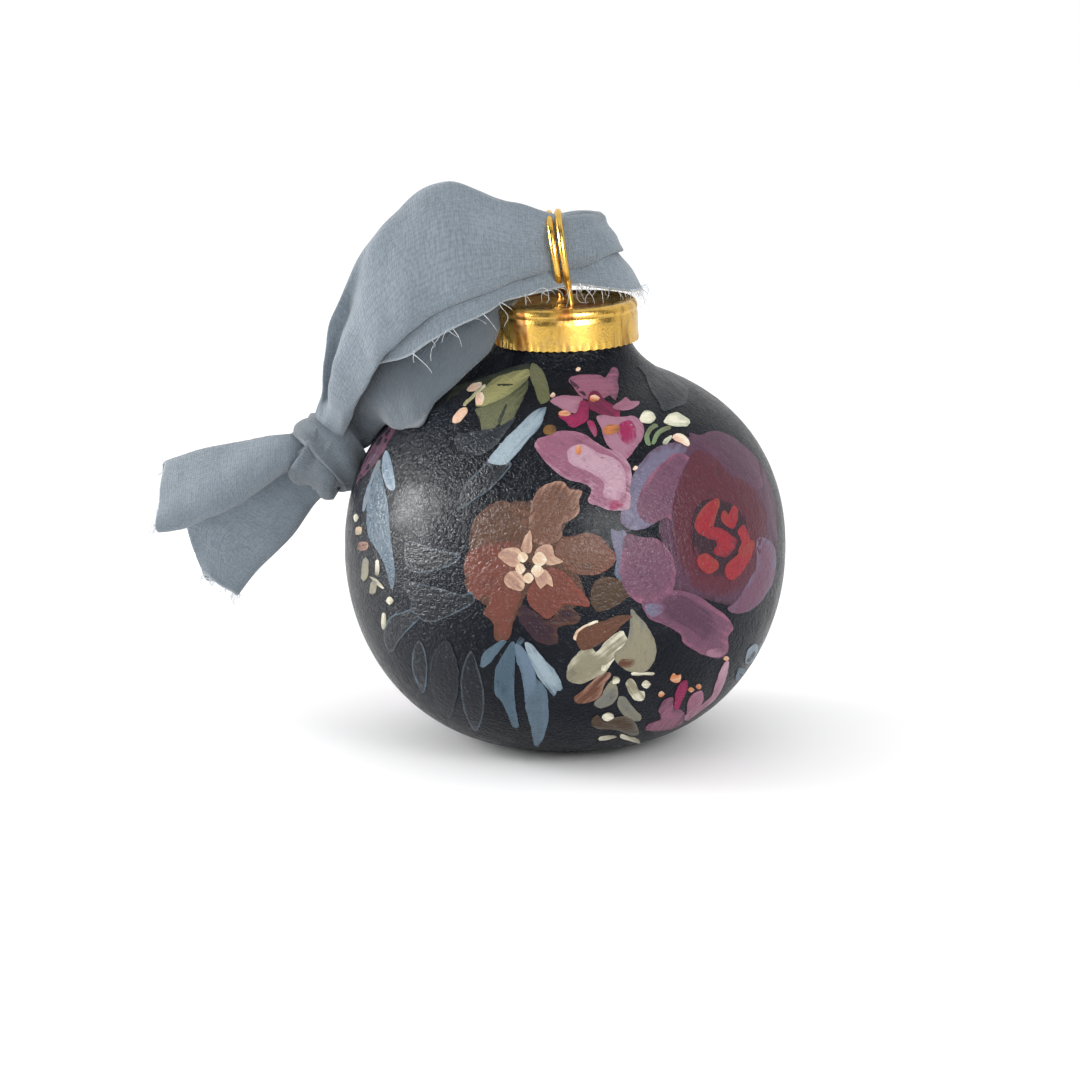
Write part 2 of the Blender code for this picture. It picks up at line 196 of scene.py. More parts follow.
ORCHID = [
    ("mauve", "plum", "0.6,27.3 1.9,28.1 5.8,28.2 7.3,27.7 8.2,29.2 9.1,29.5 9.7,28.8 9.5,27.1 9.8,25.7 9.1,23.6 8.2,24.4 6.5,23.8 3.6,23.8 2.5,24.6 1.2,26.4"),
    ("plum", "ground", "0.9,27.4 2.2,26.3 3.8,24.6 3.4,24.4 1.8,25.8 0.9,26.9"),
    ("rose", "mauve", "-2.8,23.4 -1.2,24.3 1,24.4 3.2,24 2.8,22.7 1.9,21.2 0.2,21.6 -1.4,22.5"),
    ("magenta", "wine", "-1.2,20.7 0.1,21.2 1.9,21.2 2.8,23.4 4.1,23.1 4.3,20.8 3.8,19.7 1.5,18.6 0.1,19.6"),
    ("wine", "magenta", "4.3,24.6 5.4,25.3 6.5,24.6 7.3,23.4 9.5,22.3 9.9,20.8 8.4,19.7 5.8,21.2 4.3,22.3"),
    ("mauve", "rose", "8.6,22.3 10.1,23.4 11,24.1 11.9,23.4 13.5,23.2 12.5,22.1 10.8,21.7 9.5,21.8"),
    ("rose", "mauve", "10.2,20.5 12.1,20.7 13.6,19.9 14.3,18.6 13.9,16.4 12.8,14.9 11.7,13.3 10.2,12.7 8.8,14.2 7.3,16 6.5,18.6 5.8,20.7"),
    ("magenta", "rose", "9.9,19.2 11.7,19.9 12.8,18.6 12.8,16.4 11.5,15.3 10.1,16.4 9.3,17.9"),
    ("magenta", "mauve", "3.9,19.7 5.1,19.7 5.8,17.9 5.4,16.8 4.5,18.2"),
    ("mauve", "blush", "-5.5,15.1 -4.9,16.6 -3.5,17 -1.2,17.9 1.4,17.9 3.6,17.3 5.4,16 7.3,14.9 9.5,14.2 11.4,12.3 12.1,10.1 11.7,7.1 11.9,6 11.4,3.8 8.4,3.6 5.8,4.4 4.1,5.1 4.7,7.3 3.6,8.4 1,9 -1.4,10.3 -3.5,12.3"),
    ("blush", "rose", "3,15.5 6,14 9,12.9 10.7,11 11,7.5 10,5.5 7,6 7,8.5 4.5,10.5 1,12 0.5,14.5"),
    ("magenta", "rose", "8.2,3.7 9.6,3.9 10.6,4.6 9.7,5.4 8.3,5.2"),
    ("orange", "peach", "4.5,23.3 5.5,23.3 6.3,23.9 5.4,24.4 4.5,24.1"),
    ("orange", "ochre", "7,17.6 8.3,17.3 9.8,18 9.7,18.8 8.4,19.1 7.1,18.7"),
    ("orange", "peach", "-1.1,20.8 0,20.6 1,21.1 0.1,21.6 -1,21.5"),
    ("orange", "peach", "1.9,13.9 2.6,13.6 3.1,14.5 2.7,15.4 2,15.1"),
    ("ochre", "umber", "-3.9,17.6 -2.8,17.2 -1.6,17.9 -1.9,18.8 -3,19 -3.9,18.5"),
    ("peach", "cream", "-2.7,24.3 -2.2,24 -1.7,24.5 -2.2,24.9"),
    ("peach", "cream", "1.9,29 2.4,28.8 2.8,29.3 2.3,29.6"),
    ("peach", "cream", "12.3,11 12.8,10.8 13.2,11.3 12.7,11.6"),
]
BUDS = [
    ("slate", "line", "13.4,29.9 14.5,28.1 15.4,25.5 16.9,23.4 17.7,21.6 20.1,22.3 22.1,23.3 22,27 19,28"),
    ("stem", "olive", "14.7,15.5 15.5,15.4 15.2,17 15.8,18.1 16.8,18.8 16.2,19.3 15,18.4 14.4,17"),
    ("stem", "olive", "15.7,15.6 16.4,15.7 16.9,17 18,17.8 19.2,18.3 18.9,18.9 17.5,18.5 16.1,17.3"),
    ("stem", "cream", "17.7,15.6 18.3,15.5 19.4,16.8 19,17.2 18,16.3"),
    ("cream", "stem", "13.5,20.2 14.1,19.4 15.4,19.4 16.4,20.3 15.8,21.4 14.4,21.5"),
    ("cream", "stem", "17.9,19.7 18.6,20.8 20.1,21.3 21.4,20.7 22.6,19.9 22.3,18.9 20.1,18.8 18.4,19.2"),
    ("peach", "cream", "19.4,16.7 20.2,17.5 21.4,17.3 22.5,16 22.3,15.2 21,15.7"),
]
BROWN_FLOWER = [
    ("umber", "ground", "-17.5,-7 -16.5,2 -10,5 -6,5.5 -0.5,8 2.5,6.5 1.5,3 -0.5,-1 5,-0.5 8.5,-3.5 7.5,-7 2.5,-7 3.5,-12.5 -2.5,-15.5 -6.5,-11.5 -9,-16 -11,-19 -13,-15 -18,-10.5"),
    ("ground", "umber", "-8.6,-15.6 -7.7,-13.7 -4.8,-15.3 -2.9,-16.4 0.2,-13.7 2.7,-15.8 1.9,-17 -1.3,-17.7 -1.5,-20.6 -4.8,-20.4 -6.9,-18.3"),
    ("umber", "coffee", "-16.9,-0.1 -16.1,2.4 -13.8,4.4 -11.5,5.4 -9.4,4.7 -8.1,3.8 -6.5,3 -7.5,-0.3 -9.4,-1.6 -13.6,-2.4 -14.8,-2 -16.5,-1"),
    ("rust", "umber", "-14.4,-14.1 -13.8,-12.6 -15.4,-9.9 -10.2,-10.1 -8.1,-11.2 -8.6,-13.7 -9.4,-16.2 -10.2,-19.7 -12.7,-19.9 -13.1,-16.8 -14.8,-15.3"),
    ("rust", "umber", "-17.7,-4.1 -15.9,-3.1 -13.8,-2.4 -10.2,-2 -8.1,-2.4 -7.7,-4.7 -9.4,-7.8 -10.2,-9.9 -13.3,-10.8 -15.7,-12.6 -17.3,-11.4 -17.9,-9.1 -18.4,-6.8"),
    ("coffee", "rust", "-0.6,-1.6 1.7,-1.2 3.7,-0.5 6.2,-1.2 7.3,-2.6 9,-4.1 9.2,-5.6 7.3,-7.4 5,-8.2 1.9,-7.8 0,-6.8 -1.9,-4.1"),
    ("coffee", "taupe", "-6.5,2.6 -5.8,5.5 -4.6,7.6 -1.9,8.8 -0.2,8.7 0.8,7.4 3.1,7.1 2.5,5.5 2.5,3.2 0.8,1.7 -0.6,0.9 -0.6,-1.2 -2.7,-2.6 -5.4,-2.4 -6.5,-0.8"),
    ("rust", "brick", "-3.1,-7 -0.6,-7.4 1.2,-9.1 2.7,-10.8 4.2,-12.6 4.4,-13.9 2.3,-13.7 0,-13.3 -1.1,-14.3 -3.1,-16.2 -4.8,-15.1 -6.5,-13.5 -6.9,-11.6 -6.1,-9.9"),
    ("taupe", "sand", "-12.3,-4.6 -11.1,-3.5 -9.4,-3.1 -8.1,-3.7 -8.1,-5.8 -9.4,-6.8 -11.1,-5.8"),
    ("taupe", "sand", "-7.9,-3.7 -7.7,-2 -6.5,-0.1 -6.1,-0.8 -6.2,-4.1"),
    ("taupe", "sand", "-5.4,-4.5 -4.8,-3.1 -2.7,-2.6 -2.1,-3.7 -1.9,-4.7 -0.4,-5.6 -1.1,-6.1 -2.9,-6.4 -4,-5.8"),
    ("taupe", "sand", "-5.6,-7.4 -3.6,-7.2 -2.5,-8.5 -2.3,-10.3 -3.3,-9.7 -4.4,-10.6 -5.2,-9.5"),
    ("taupe", "sand", "-9.8,-7.4 -8.1,-7.8 -7.3,-9.5 -7.9,-11 -10.2,-10.4 -11.1,-8.9"),
    ("sand", "cream", "-8.7,-5 -7.7,-3.9 -6.7,-4.9 -7.6,-5.9"),
    ("sand", "cream", "-9.1,-7 -8.1,-6 -7.1,-7 -8.1,-8"),
    ("sand", "cream", "-7.7,-8.7 -6.7,-7.7 -5.7,-8.7 -6.7,-9.7"),
    ("sand", "cream", "-6.2,-7.4 -5,-6.2 -3.8,-7.4 -5,-8.6"),
    ("sand", "cream", "-6,-5.3 -4.6,-4 -3.3,-5.3 -4.6,-6.6"),
    ("black", "umber", "-7.4,-6.5 -6.7,-5.8 -6,-6.5 -6.7,-7.2"),
]
ROSE = [
    ("plum", "ground", "19,15 23.5,17 30.5,16.5 35.5,12 38,5.5 38.5,-2 36.5,-9.5 33,-13.5 29,-13.5 22.5,-11.5 19.5,-11 18,-4 17,1 19,6"),
    ("fog", "plum", "10,2.5 11.5,6.5 12.3,10 15.5,14.2 19,15.7 22,15 20.5,12.5 16,8.6 14.5,4 16.5,1.5 13.2,0 10.8,0.6"),
    ("heather", "mauve", "13.7,2.2 13.1,5.4 15,9.4 18,12.6 20.4,14 23.1,12.6 25.2,9.6 24,6.4 22.6,1.6 20,1 18.4,2.3 16,1.2"),
    ("plum", "heather", "22.4,17.6 24.6,17.2 26.4,17.9 28.2,17.8 30.3,17 32.3,15.2 34.3,12.8 35.2,10.5 35.6,7.7 31.3,7.7 28.7,10.1 27.4,12.4 25.4,14.8 23.4,15.6"),
    ("burgundy", "plum", "21.5,11 24,14.5 27.5,12.8 30,10 34,8 36.5,3 36,-4 33.5,-10 29,-12 24,-11 21,-7 19.5,-1 19.5,5"),
    ("heather", "fog", "34.8,-1.8 36.7,-1.8 38.2,-4.2 37.7,-9.1 35.8,-12.5 33.6,-14.5 30.9,-15.1 29.4,-14.2 31.4,-12.5 33,-9.6 34.6,-6.7"),
    ("fog", "lake", "8.2,0.2 9.4,-0.3 10.8,0 11.5,-2.6 11.5,-9 9,-8.3 9.3,-5.2 8.6,-2.6"),
    ("heather", "mauve", "11,-0.8 14,-1.3 16.6,-1.6 19,-4 20,-7.5 19.2,-11.6 17,-13 13.5,-13.2 11,-11 10,-8 10.3,-4"),
    ("heather", "mauve", "13.9,-12.8 16.3,-12.6 19.5,-11 22.1,-11.2 24.6,-12.2 27,-14 29.2,-15.6 30.4,-17.8 29.5,-19.3 29.5,-21.7 28,-23.2 25.3,-22.7 22.9,-21.5 21.4,-20.5 20.7,-18.8 17.8,-17.1 15.1,-16"),
    ("plum", "heather", "18,-12.5 20.5,-11.8 23,-12.6 26.5,-15.5 27.5,-18.5 25,-20 22.8,-18 20,-16.8 17.6,-15.2"),
    ("rose", "heather", "26,-21.7 28,-21.4 29,-22 27.8,-23 25.6,-22.6"),
    ("fog", "heather", "14.4,-13.6 16.6,-13.3 18,-14.2 16.6,-15.6 15,-15.4"),
    ("ground", "burgundy", "23.2,3 25.5,5.4 29.5,5 32.5,2 32.8,-3 31,-7 27.8,-8.4 24.6,-6.5 23,-2"),
    ("scarlet", "brick", "27.2,5.7 28,5 27.4,2.8 26.2,-0.8 24.6,-0.9 23.4,0.6 23.8,2.4 25,4.2"),
    ("scarlet", "brick", "28.2,2.8 28.9,3.6 29.5,2.8 30.3,4.4 31.3,3.6 31.1,1.8 30.3,0.2 28.3,1.6"),
    ("scarlet", "burgundy", "25.8,0.2 27.8,0.4 29.7,-0.6 31.1,-2.1 29.5,-4.7 27.8,-4.7 26.8,-3.9 27.4,-2.1 25.4,-1.3"),
    ("scarlet", "brick", "31.1,-0.2 32.3,1 32.9,-0.2 33.5,-2.1 33.5,-4.1 32.9,-5.4 31.7,-5.4 31.3,-3.7 31.9,-2.1"),
    ("scarlet", "brick", "23.8,-5.4 25.3,-4.2 27.5,-5.7 27.7,-6.9 26,-7.9 24.6,-7.2"),
    ("scarlet", "brick", "29.2,-6.2 31.4,-4.2 33.6,-1.8 34.1,-3.3 32.6,-6.7 30.2,-9.1 28.9,-7.9"),
]
AUTUMN_LEAVES = [
    ("bark", "umber", "4.6,-12.7 4.9,-10.3 6.6,-8.6 9.7,-8.8 12.4,-10.1 12.4,-11.5 10.7,-12.7 8.8,-14 6.3,-14.9 5.4,-14.4"),
    ("beige", "cream", "0.2,-26 1,-23.8 3.4,-21.4 5,-21.4 5.6,-22.2 7.3,-20.3 9.9,-18.3 10.9,-18.9 11.3,-20.7 9.3,-22.8 7.3,-25.8 4.4,-27.3 2.4,-27.9 0.6,-27.3"),
    ("beige", "stone", "11.9,-14.4 13.1,-15.4 14.9,-17.4 16.3,-20.3 16.4,-23 14.9,-25.4 12.4,-25.9 10,-24.7 8.8,-22.7 10.7,-20.8 11.7,-18.3"),
    ("sand", "cream", "1.6,-19.9 2.1,-18.2 4.1,-17 6,-16.4 5,-18.5 3.5,-20"),
    ("chestnut", "umber", "2,-19.9 2.5,-18.5 4.1,-17.4 7.1,-16.4 10,-15.4 12.2,-15.7 11,-16.7 7.6,-19.8 4.1,-21.7 2.6,-21.4"),
    ("chestnut", "beige", "9.7,-24.4 10.8,-25 12.5,-24.7 12.7,-23.7 11.4,-23.3 10,-23.6"),
    ("chestnut", "taupe", "1.6,-30.5 3.4,-28.9 5.4,-27 7.5,-25.8 8.3,-26.2 7.1,-28.1 6,-30.5 2.6,-31.5"),
    ("stone", "beige", "5.2,-31.5 6.4,-30.1 8.3,-27.3 9.3,-28.1 9.5,-30.1 8.5,-31.5 6.4,-32.3"),
    ("beige", "cream", "10.9,-27.8 11.7,-26.9 12.6,-27.4 13.4,-29.1 14.3,-29.3 14.3,-30.8 12.6,-30.8 11.7,-29.7"),
    ("stone", "beige", "9.5,-31.7 9.8,-30.2 10.9,-30.4 12.4,-32.3 13.7,-33.6 13.5,-34.6 11.9,-34.3 10.4,-33.4"),
    ("bark", "stone", "4.8,-34.8 5.8,-33.5 7.3,-34.8 9.9,-33.8 12.3,-34.4 13.4,-36.8 11.9,-37.2 9.3,-36.2 5.8,-36"),
    ("cream", "beige", "6.6,-25.4 7.3,-25.4 7.4,-24.6 6.7,-24.5"),
    ("cream", "beige", "8.6,-27.9 9.8,-27.7 9.8,-26.7 8.7,-26.6"),
    ("cream", "beige", "12.1,-26.3 14,-26.3 16,-26.2 16,-25.8 14,-25.8 12.1,-25.8"),
    ("cream", "beige", "13.8,-28.1 14.7,-27.2 15.5,-28 14.7,-28.7"),
    ("cream", "beige", "6.6,-33.9 7.7,-34.6 8.9,-33.8 7.8,-33.1"),
    ("cream", "beige", "6.2,-38.1 8,-37.9 9.3,-37.5 8,-37.3 6.3,-37.5"),
    ("cream", "beige", "10,-37.6 12,-38.2 13.5,-38.7 13.3,-38 11.6,-37.4 10.1,-37.1"),
]
BLUE_LEAVES = [
    ("steel", "lake", "-15.2,-24.8 -14.9,-22.4 -12.4,-20.5 -11.4,-19.9 -10.6,-20.3 -12,-22 -13.7,-24.2"),
    ("lake", "steel", "-12.9,-28.1 -12.6,-25.2 -11.4,-22.8 -9.8,-20.3 -9,-20.8 -9.1,-24.2 -9.2,-28.1 -9,-32.1 -8.4,-35.4 -9.4,-35.7 -10.6,-33.1 -11.6,-30.9 -12.6,-29.9"),
    ("steel", "sky", "-7.2,-31.5 -5.7,-27 -3.5,-28.9 -3,-33.1 -3.5,-36.4 -4.5,-38.6 -5.5,-39.1 -6.3,-35.6 -6.8,-33.6"),
    ("sky", "steel", "-9,-20.7 -7,-22.2 -5.3,-26.2 -5.7,-29.7 -6.6,-30.1 -7.2,-31.2 -7.6,-28.1 -8.2,-25.2 -8.8,-23.8"),
    ("ice", "steel", "-7.4,-20.5 -6.1,-20.7 -3.5,-23.8 -1.7,-25.6 -0.5,-28.7 -1.5,-29.1 -1.9,-30.1 -3.5,-28.5 -5.1,-26.2 -6.6,-22.8"),
    ("lake", "night", "-8.9,-20.3 -8.1,-19.4 -7.4,-20 -8.2,-20.8"),
]
DARK_LEAVES = [
    "-17.2,-22 -15.8,-25 -14.8,-29 -14.9,-33.5 -16.2,-36.5 -17.9,-34 -18.9,-30 -18.8,-26",
    "-26.5,-20 -25.3,-22.5 -25,-26 -25.6,-29.5 -26.8,-28 -27.8,-25 -27.6,-22",
    "-29.1,-2.6 -27.9,-2.1 -26.1,-2.6 -23.3,-3.5 -19.4,-4.3 -19,-5 -20.5,-6.3 -23.7,-7.4 -26.1,-7.8 -28.1,-7.4 -28.9,-6.3",
    "-29.4,-10.2 -28.5,-9.4 -26.3,-9.8 -23.3,-10.4 -20.5,-11.3 -18.5,-11.7 -17,-11.3 -16.4,-13 -18.7,-14.5 -21.8,-16 -24.2,-16.7 -26.1,-16.3 -27.9,-14.5 -28.1,-12.3",
    "-32,-16 -30,-15 -27.9,-14.5 -26.3,-16 -27.9,-17.6 -30,-20 -31.5,-22.1 -32.6,-20.8 -32.9,-18.9",
    "-21.5,-20 -20,-22.5 -19.3,-26 -19.6,-30 -21,-34 -23,-32 -24.3,-28.5 -24.5,-24.5 -23.3,-21.5",
]
LEFT_SPRAY = [
    ("plum", "wine", "-37.9,8.5 -35.8,13.9 -33.1,17.5 -30,20.4 -27.3,23.1 -28.3,21.8 -31.2,17.5 -33.7,13.1 -37.5,8.9"),
    ("lake", "steel", "-33.9,11.6 -32.7,7.4 -32.1,4.3 -31.7,-0.9 -31.1,-5.6 -30.9,-8 -31.3,-10.9 -32,-9.3 -32.9,-6 -34.4,-3.2 -35.7,-1.1 -36,1.8 -35.9,5.5 -35.1,8.2"),
    ("sky", "stone", "-33.9,12.7 -33.5,11.8 -35,8.9 -35.8,5.2 -36.6,3.3 -36.8,4.3 -35.8,8.1"),
    ("sky", "ice", "-32.5,14.5 -31.6,12.7 -30.8,7.9 -31.6,7.2 -32.7,8.5 -33.3,11.8"),
    ("beige", "cream", "-38.1,1.5 -37.5,2.2 -37.8,3 -38.4,2.4"),
    ("beige", "sand", "-38,-0.8 -37,-0.7 -37,0.5 -37.8,0.5"),
    ("chestnut", "taupe", "-37.6,-3.5 -36,-3.6 -35.8,-2.3 -37.3,-2.2"),
    ("beige", "stone", "-37,-8.8 -36,-8.9 -35.6,-5.6 -36.6,-5.2"),
    ("beige", "cream", "-34.4,-8 -33.8,-7.9 -33.8,-5.5 -34.4,-5.6"),
    ("beige", "cream", "-35.5,-8.4 -34.2,-9 -32.8,-10.6 -33.4,-10.5 -34.8,-9.2"),
    ("beige", "stone", "-35.4,-11.5 -34.4,-11.4 -34.1,-9.4 -35.1,-9.4"),
    ("cream", "beige", "-32.5,-12.8 -31.8,-12 -31.1,-12.8 -31.8,-13.5"),
    ("beige", "cream", "-33.2,-17.8 -32.5,-17.7 -32.5,-15.2 -33.2,-15.2"),
]
SMALL_PINKS = [
    ("steel", "ice", "32.6,-24.2 33.2,-21.8 34.6,-20.6 35,-21.8 33.8,-23.9"),
    ("lake", "steel", "30.9,-27.2 31.4,-25 32.5,-25.2 31.8,-27"),
    ("mauve", "plum", "16.9,-32.6 18.2,-30.6 19.5,-30.4 19.7,-32.4 21.1,-32.6 21.7,-33.6 21,-35.2 18.2,-36.3 14.7,-36.3 15.2,-35.2 17.4,-34.3"),
    ("mauve", "rose", "22.1,-33.4 22.5,-30.4 24.7,-29.1 25,-31 23.9,-32.6"),
    ("mauve", "blush", "26.5,-30.2 27.3,-27.8 28.5,-24.7 29.6,-23.7 29.4,-26 28.5,-28.4 27.2,-30.6 24.8,-32.6 22.1,-34.6 21.7,-33.6 24.1,-32.1"),
    ("magenta", "wine", "20,-29.3 21,-27.6 22.1,-27.3 22.1,-28.9 21.1,-31.1 20.6,-32.4 19.8,-32.3"),
    ("orange", "sand", "16.8,-29.9 17.4,-29.2 18,-29.7 17.4,-30.3"),
    ("orange", "sand", "19,-27.2 19.7,-25.9 20.3,-26.4 21,-26.2 20.8,-27.4 19.9,-27.6"),
    ("orange", "sand", "22.2,-29 22.8,-28.5 23.4,-28.9 22.8,-29.4"),
    ("orange", "sand", "23.6,-28.4 24.1,-27.9 24.7,-28.3 24.2,-28.9"),
    ("orange", "sand", "28.6,-23.4 29.2,-22.8 29.7,-23.3 29.2,-23.7"),
]


def deselect_all():
    if bpy.context.mode != "OBJECT":
        bpy.ops.object.mode_set(mode="OBJECT")
    bpy.ops.object.select_all(action="DESELECT")


def make_active(obj):
    deselect_all()
    obj.select_set(True)
    bpy.context.view_layer.objects.active = obj
    return obj


def add_object(name, mesh, *materials):
    obj = bpy.data.objects.new(name, mesh)
    bpy.context.scene.collection.objects.link(obj)
    for material in materials:
        mesh.materials.append(material)
    return make_active(obj)


def in_edit_mode(*steps):
    """Each step on all of the active mesh: the name of a mesh operator and its settings."""
    bpy.ops.object.mode_set(mode="EDIT")
    for name, settings in steps:
        bpy.ops.mesh.select_all(action="SELECT")
        getattr(bpy.ops.mesh, name)(**settings)
    bpy.ops.object.mode_set(mode="OBJECT")


def apply_modifier(obj, kind, **settings):
    make_active(obj)
    modifier = obj.modifiers.new(kind.title(), kind)
    for key, value in settings.items():
        setattr(modifier, key, value)
    bpy.ops.object.modifier_apply(modifier=modifier.name)


def place(obj, matrix):
    """Moves the piece to its place and leaves its object at the origin."""
    make_active(obj)
    obj.matrix_world = matrix
    bpy.ops.object.transform_apply(location=True, rotation=True, scale=True)
    return obj


def smooth(t):
    t = min(max(t, 0.0), 1.0)
    return t * t * (3 - 2 * t)


def curve_between(stations, position, closed=False):
    """The value at a fractional position, on a smooth curve through the stations."""
    count = len(stations)
    first = int(position) if closed else min(int(position), count - 2)
    t = position - first
    picks = range(first - 1, first + 3)
    a, b, c, d = (stations[i % count if closed else min(max(i, 0), count - 1)] for i in picks)
    return 0.5 * (2 * b + (c - a) * t + (2 * a - 5 * b + 4 * c - d) * t * t + (3 * b - a - 3 * c + d) * t**3)


def linear(hex_colour):
    """A pigment's colour as light values."""
    parts = (int(hex_colour[i:i + 2], 16) / 255 for i in (0, 2, 4))
    return tuple(PIGMENT_STRENGTH * (p / 12.92 if p <= 0.04045 else ((p + 0.055) / 1.055) ** 2.4) for p in parts)


# Materials


class Value:
    """A value in a material, so that its sums are written as an expression."""

    def __init__(self, tree, socket):
        self.tree, self.socket = tree, socket

    def node(self, kind, settings, values, output=0):
        """A new node: its settings first, then its sockets by place or name."""
        made = self.tree.nodes.new(kind)
        for key, value in settings.items():
            setattr(made, key, value)
        for key, value in values.items():
            if isinstance(value, Value):
                self.tree.links.new(value.socket, made.inputs[key])
            else:
                made.inputs[key].default_value = value
        return Value(self.tree, made.outputs[output])

    def sum(self, operation, *others):
        return self.node("ShaderNodeMath", {"operation": operation}, dict(enumerate([self, *others])))

    def __add__(self, other):
        return self.sum("ADD", other)

    def __mul__(self, other):
        return self.sum("MULTIPLY", other)

    def __sub__(self, other):
        return self.sum("SUBTRACT", other)

    def __rsub__(self, other):
        return self.node("ShaderNodeMath", {"operation": "SUBTRACT"}, {0: other, 1: self})

    def __pow__(self, other):
        return self.sum("POWER", other)

    __radd__ = __add__
    __rmul__ = __mul__

    def step(self, low, high, bottom=0.0, top=1.0):
        """Rises smoothly from bottom to top as this value goes from low to high."""
        return self.node(
            "ShaderNodeMapRange",
            {"interpolation_type": "SMOOTHSTEP"},
            {"Value": self, "From Min": low, "From Max": high, "To Min": bottom, "To Max": top},
        )

    def stretch(self, x, y, z):
        """This place, scaled by these amounts."""
        return self.node("ShaderNodeVectorMath", {"operation": "MULTIPLY"}, {0: self, 1: (x, y, z)})

    def noise(self, scale, detail=2.0, roughness=0.5, distortion=0.0):
        """Noise at this place, with this many lumps to the millimetre."""
        values = {"Vector": self, "Scale": scale, "Detail": detail, "Roughness": roughness, "Distortion": distortion}
        return self.node("ShaderNodeTexNoise", {}, values)

    def mix(self, first, second, blend="MIX"):
        """Two colours, mixed by this value."""
        first, second = ((*c, 1.0) if isinstance(c, tuple) and len(c) == 3 else c for c in (first, second))
        settings = {"data_type": "RGBA", "blend_type": blend}
        return self.node("ShaderNodeMix", settings, {0: self, 6: first, 7: second}, output=2)

    def part(self, name):
        """One of this place's coordinates."""
        split = self.node("ShaderNodeSeparateXYZ", {}, {0: self})
        return Value(self.tree, split.socket.node.outputs[name])


class Finish:
    """A new material: its shader's constants, and the places and attributes that its patterns read."""

    def __init__(self, name, **constants):
        self.material = bpy.data.materials.new(name)
        self.material.use_nodes = True
        self.tree = self.material.node_tree
        self.shader = self.tree.nodes["Principled BSDF"]
        for key, value in constants.items():
            self.shader.inputs[key.replace("_", " ")].default_value = value

    def source(self, kind, output, **settings):
        node = self.tree.nodes.new(kind)
        for key, value in settings.items():
            setattr(node, key, value)
        return Value(self.tree, node.outputs[output])

    def millimetres(self):
        """The place on the piece, in millimetres."""
        return self.source("ShaderNodeTexCoord", "Object").stretch(1000, 1000, 1000)

    def weave_map(self, name):
        return self.source("ShaderNodeUVMap", "UV", uv_map=name)

    def attribute(self, name, output="Color"):
        return self.source("ShaderNodeAttribute", output, attribute_name=name)

    def wear(self, **links):
        """Joins values to the shader's sockets, and height to its bump, in metres."""
        height, depth = links.pop("height", None), links.pop("depth", 0.0001)
        for key, value in links.items():
            self.tree.links.new(value.socket, self.shader.inputs[key.replace("_", " ")])
        if height:
            bump = height.node("ShaderNodeBump", {}, {"Height": height, "Distance": depth, "Strength": 1.0})
            self.tree.links.new(bump.socket, self.shader.inputs["Normal"])
        return self.material


def leathery(place):
    """The height of varnish that dried in fine wrinkles."""
    wrinkles = place.noise(1.5, 3.0, 0.55, 0.6)
    folds = 1 - (place.noise(0.9, 2.0, 0.5, 1.2) * 2 - 1).sum("ABSOLUTE")
    grain = place.noise(4.5, 2.0)
    return wrinkles * 0.55 + folds * 0.4 + grain * 0.1


def navy_varnish():
    settings = bpy.context.scene.ornament_paint
    finish = Finish("navy_varnish", Specular_IOR_Level=settings.gloss, Coat_Roughness=0.22, Coat_IOR=1.4)
    place = finish.millimetres()
    ground = tuple(settings.ground_colour)
    cloudy = place.noise(0.06, 3.0).step(0.35, 0.7)
    colour = cloudy.mix(ground, tuple(c * 1.5 + 0.002 for c in ground))
    flecks = place.noise(1.6, 1.0).step(0.66, 0.74) * 0.25
    colour = flecks.mix(colour, (0.03, 0.032, 0.045))
    rough = place.noise(0.35, 3.0).step(0.3, 0.7, 0.23, 0.33)
    coat = place.noise(0.2, 2.0).step(0.3, 0.7, 0.02, 0.07)
    return finish.wear(Base_Color=colour, Roughness=rough, Coat_Weight=coat, height=leathery(place), depth=0.00048)


def brushed_paint():
    """Two pigments on one brush: the second shows in streaks, and more towards the stroke's rim."""
    finish = Finish("brushed_paint", Specular_IOR_Level=0.14, Coat_Roughness=0.25, Coat_IOR=1.4, Coat_Weight=0.03)
    place = finish.millimetres()
    along = finish.weave_map("stroke")
    bristles = along.stretch(0.11, 1.5, 1).noise(1.0, 2.0, 0.5, 0.3)
    blots = place.noise(0.42, 3.0, 0.6)
    load = finish.attribute("load", "Fac")
    shown = (load + bristles * 1.2 + blots * 0.7 - 0.95).step(0.25, 1.0)
    colour = shown.mix(finish.attribute("pigment"), finish.attribute("second_pigment"))
    thin = (blots.step(0.5, 0.28) * bristles.step(0.55, 0.4)) * 0.35
    colour = thin.mix(colour, (0.02, 0.024, 0.034))
    rough = bristles.step(0.3, 0.7, 0.28, 0.42)
    height = leathery(place) + bristles * 0.35
    return finish.wear(Base_Color=colour, Roughness=rough, height=height, depth=0.0004)


def worn_brass(name, bright, tarnish):
    """Brass with darker streaks down its side, specks and a duller grain."""
    settings = bpy.context.scene.ornament_metal
    finish = Finish(name, Metallic=1.0, Specular_IOR_Level=0.5)
    place = finish.millimetres()
    light = tuple(settings.brass_colour)
    broad = place.stretch(1, 1, 0.25).noise(0.17, 3.0, 0.6, 0.5)
    specks = place.noise(1.1, 3.0, 0.7)
    dark = broad.step(0.46, 0.62) * tarnish + specks.step(0.6, 0.72) * tarnish * 0.8
    colour = dark.sum("MINIMUM", 1.0).mix(tuple(c * bright for c in light), (0.17, 0.062, 0.014))
    colour = (place.noise(0.6, 2.0).step(0.45, 0.7) * 0.3).mix(colour, (0.42, 0.3, 0.13))
    rough = (specks * 0.2 + dark * 0.25 + (0.34 - 0.2 * bright)).sum("MINIMUM", 0.6)
    height = place.noise(2.2, 3.0, 0.6) + place.noise(0.4, 2.0) * 0.8
    return finish.wear(Base_Color=colour, Roughness=rough, height=height, depth=0.00003)


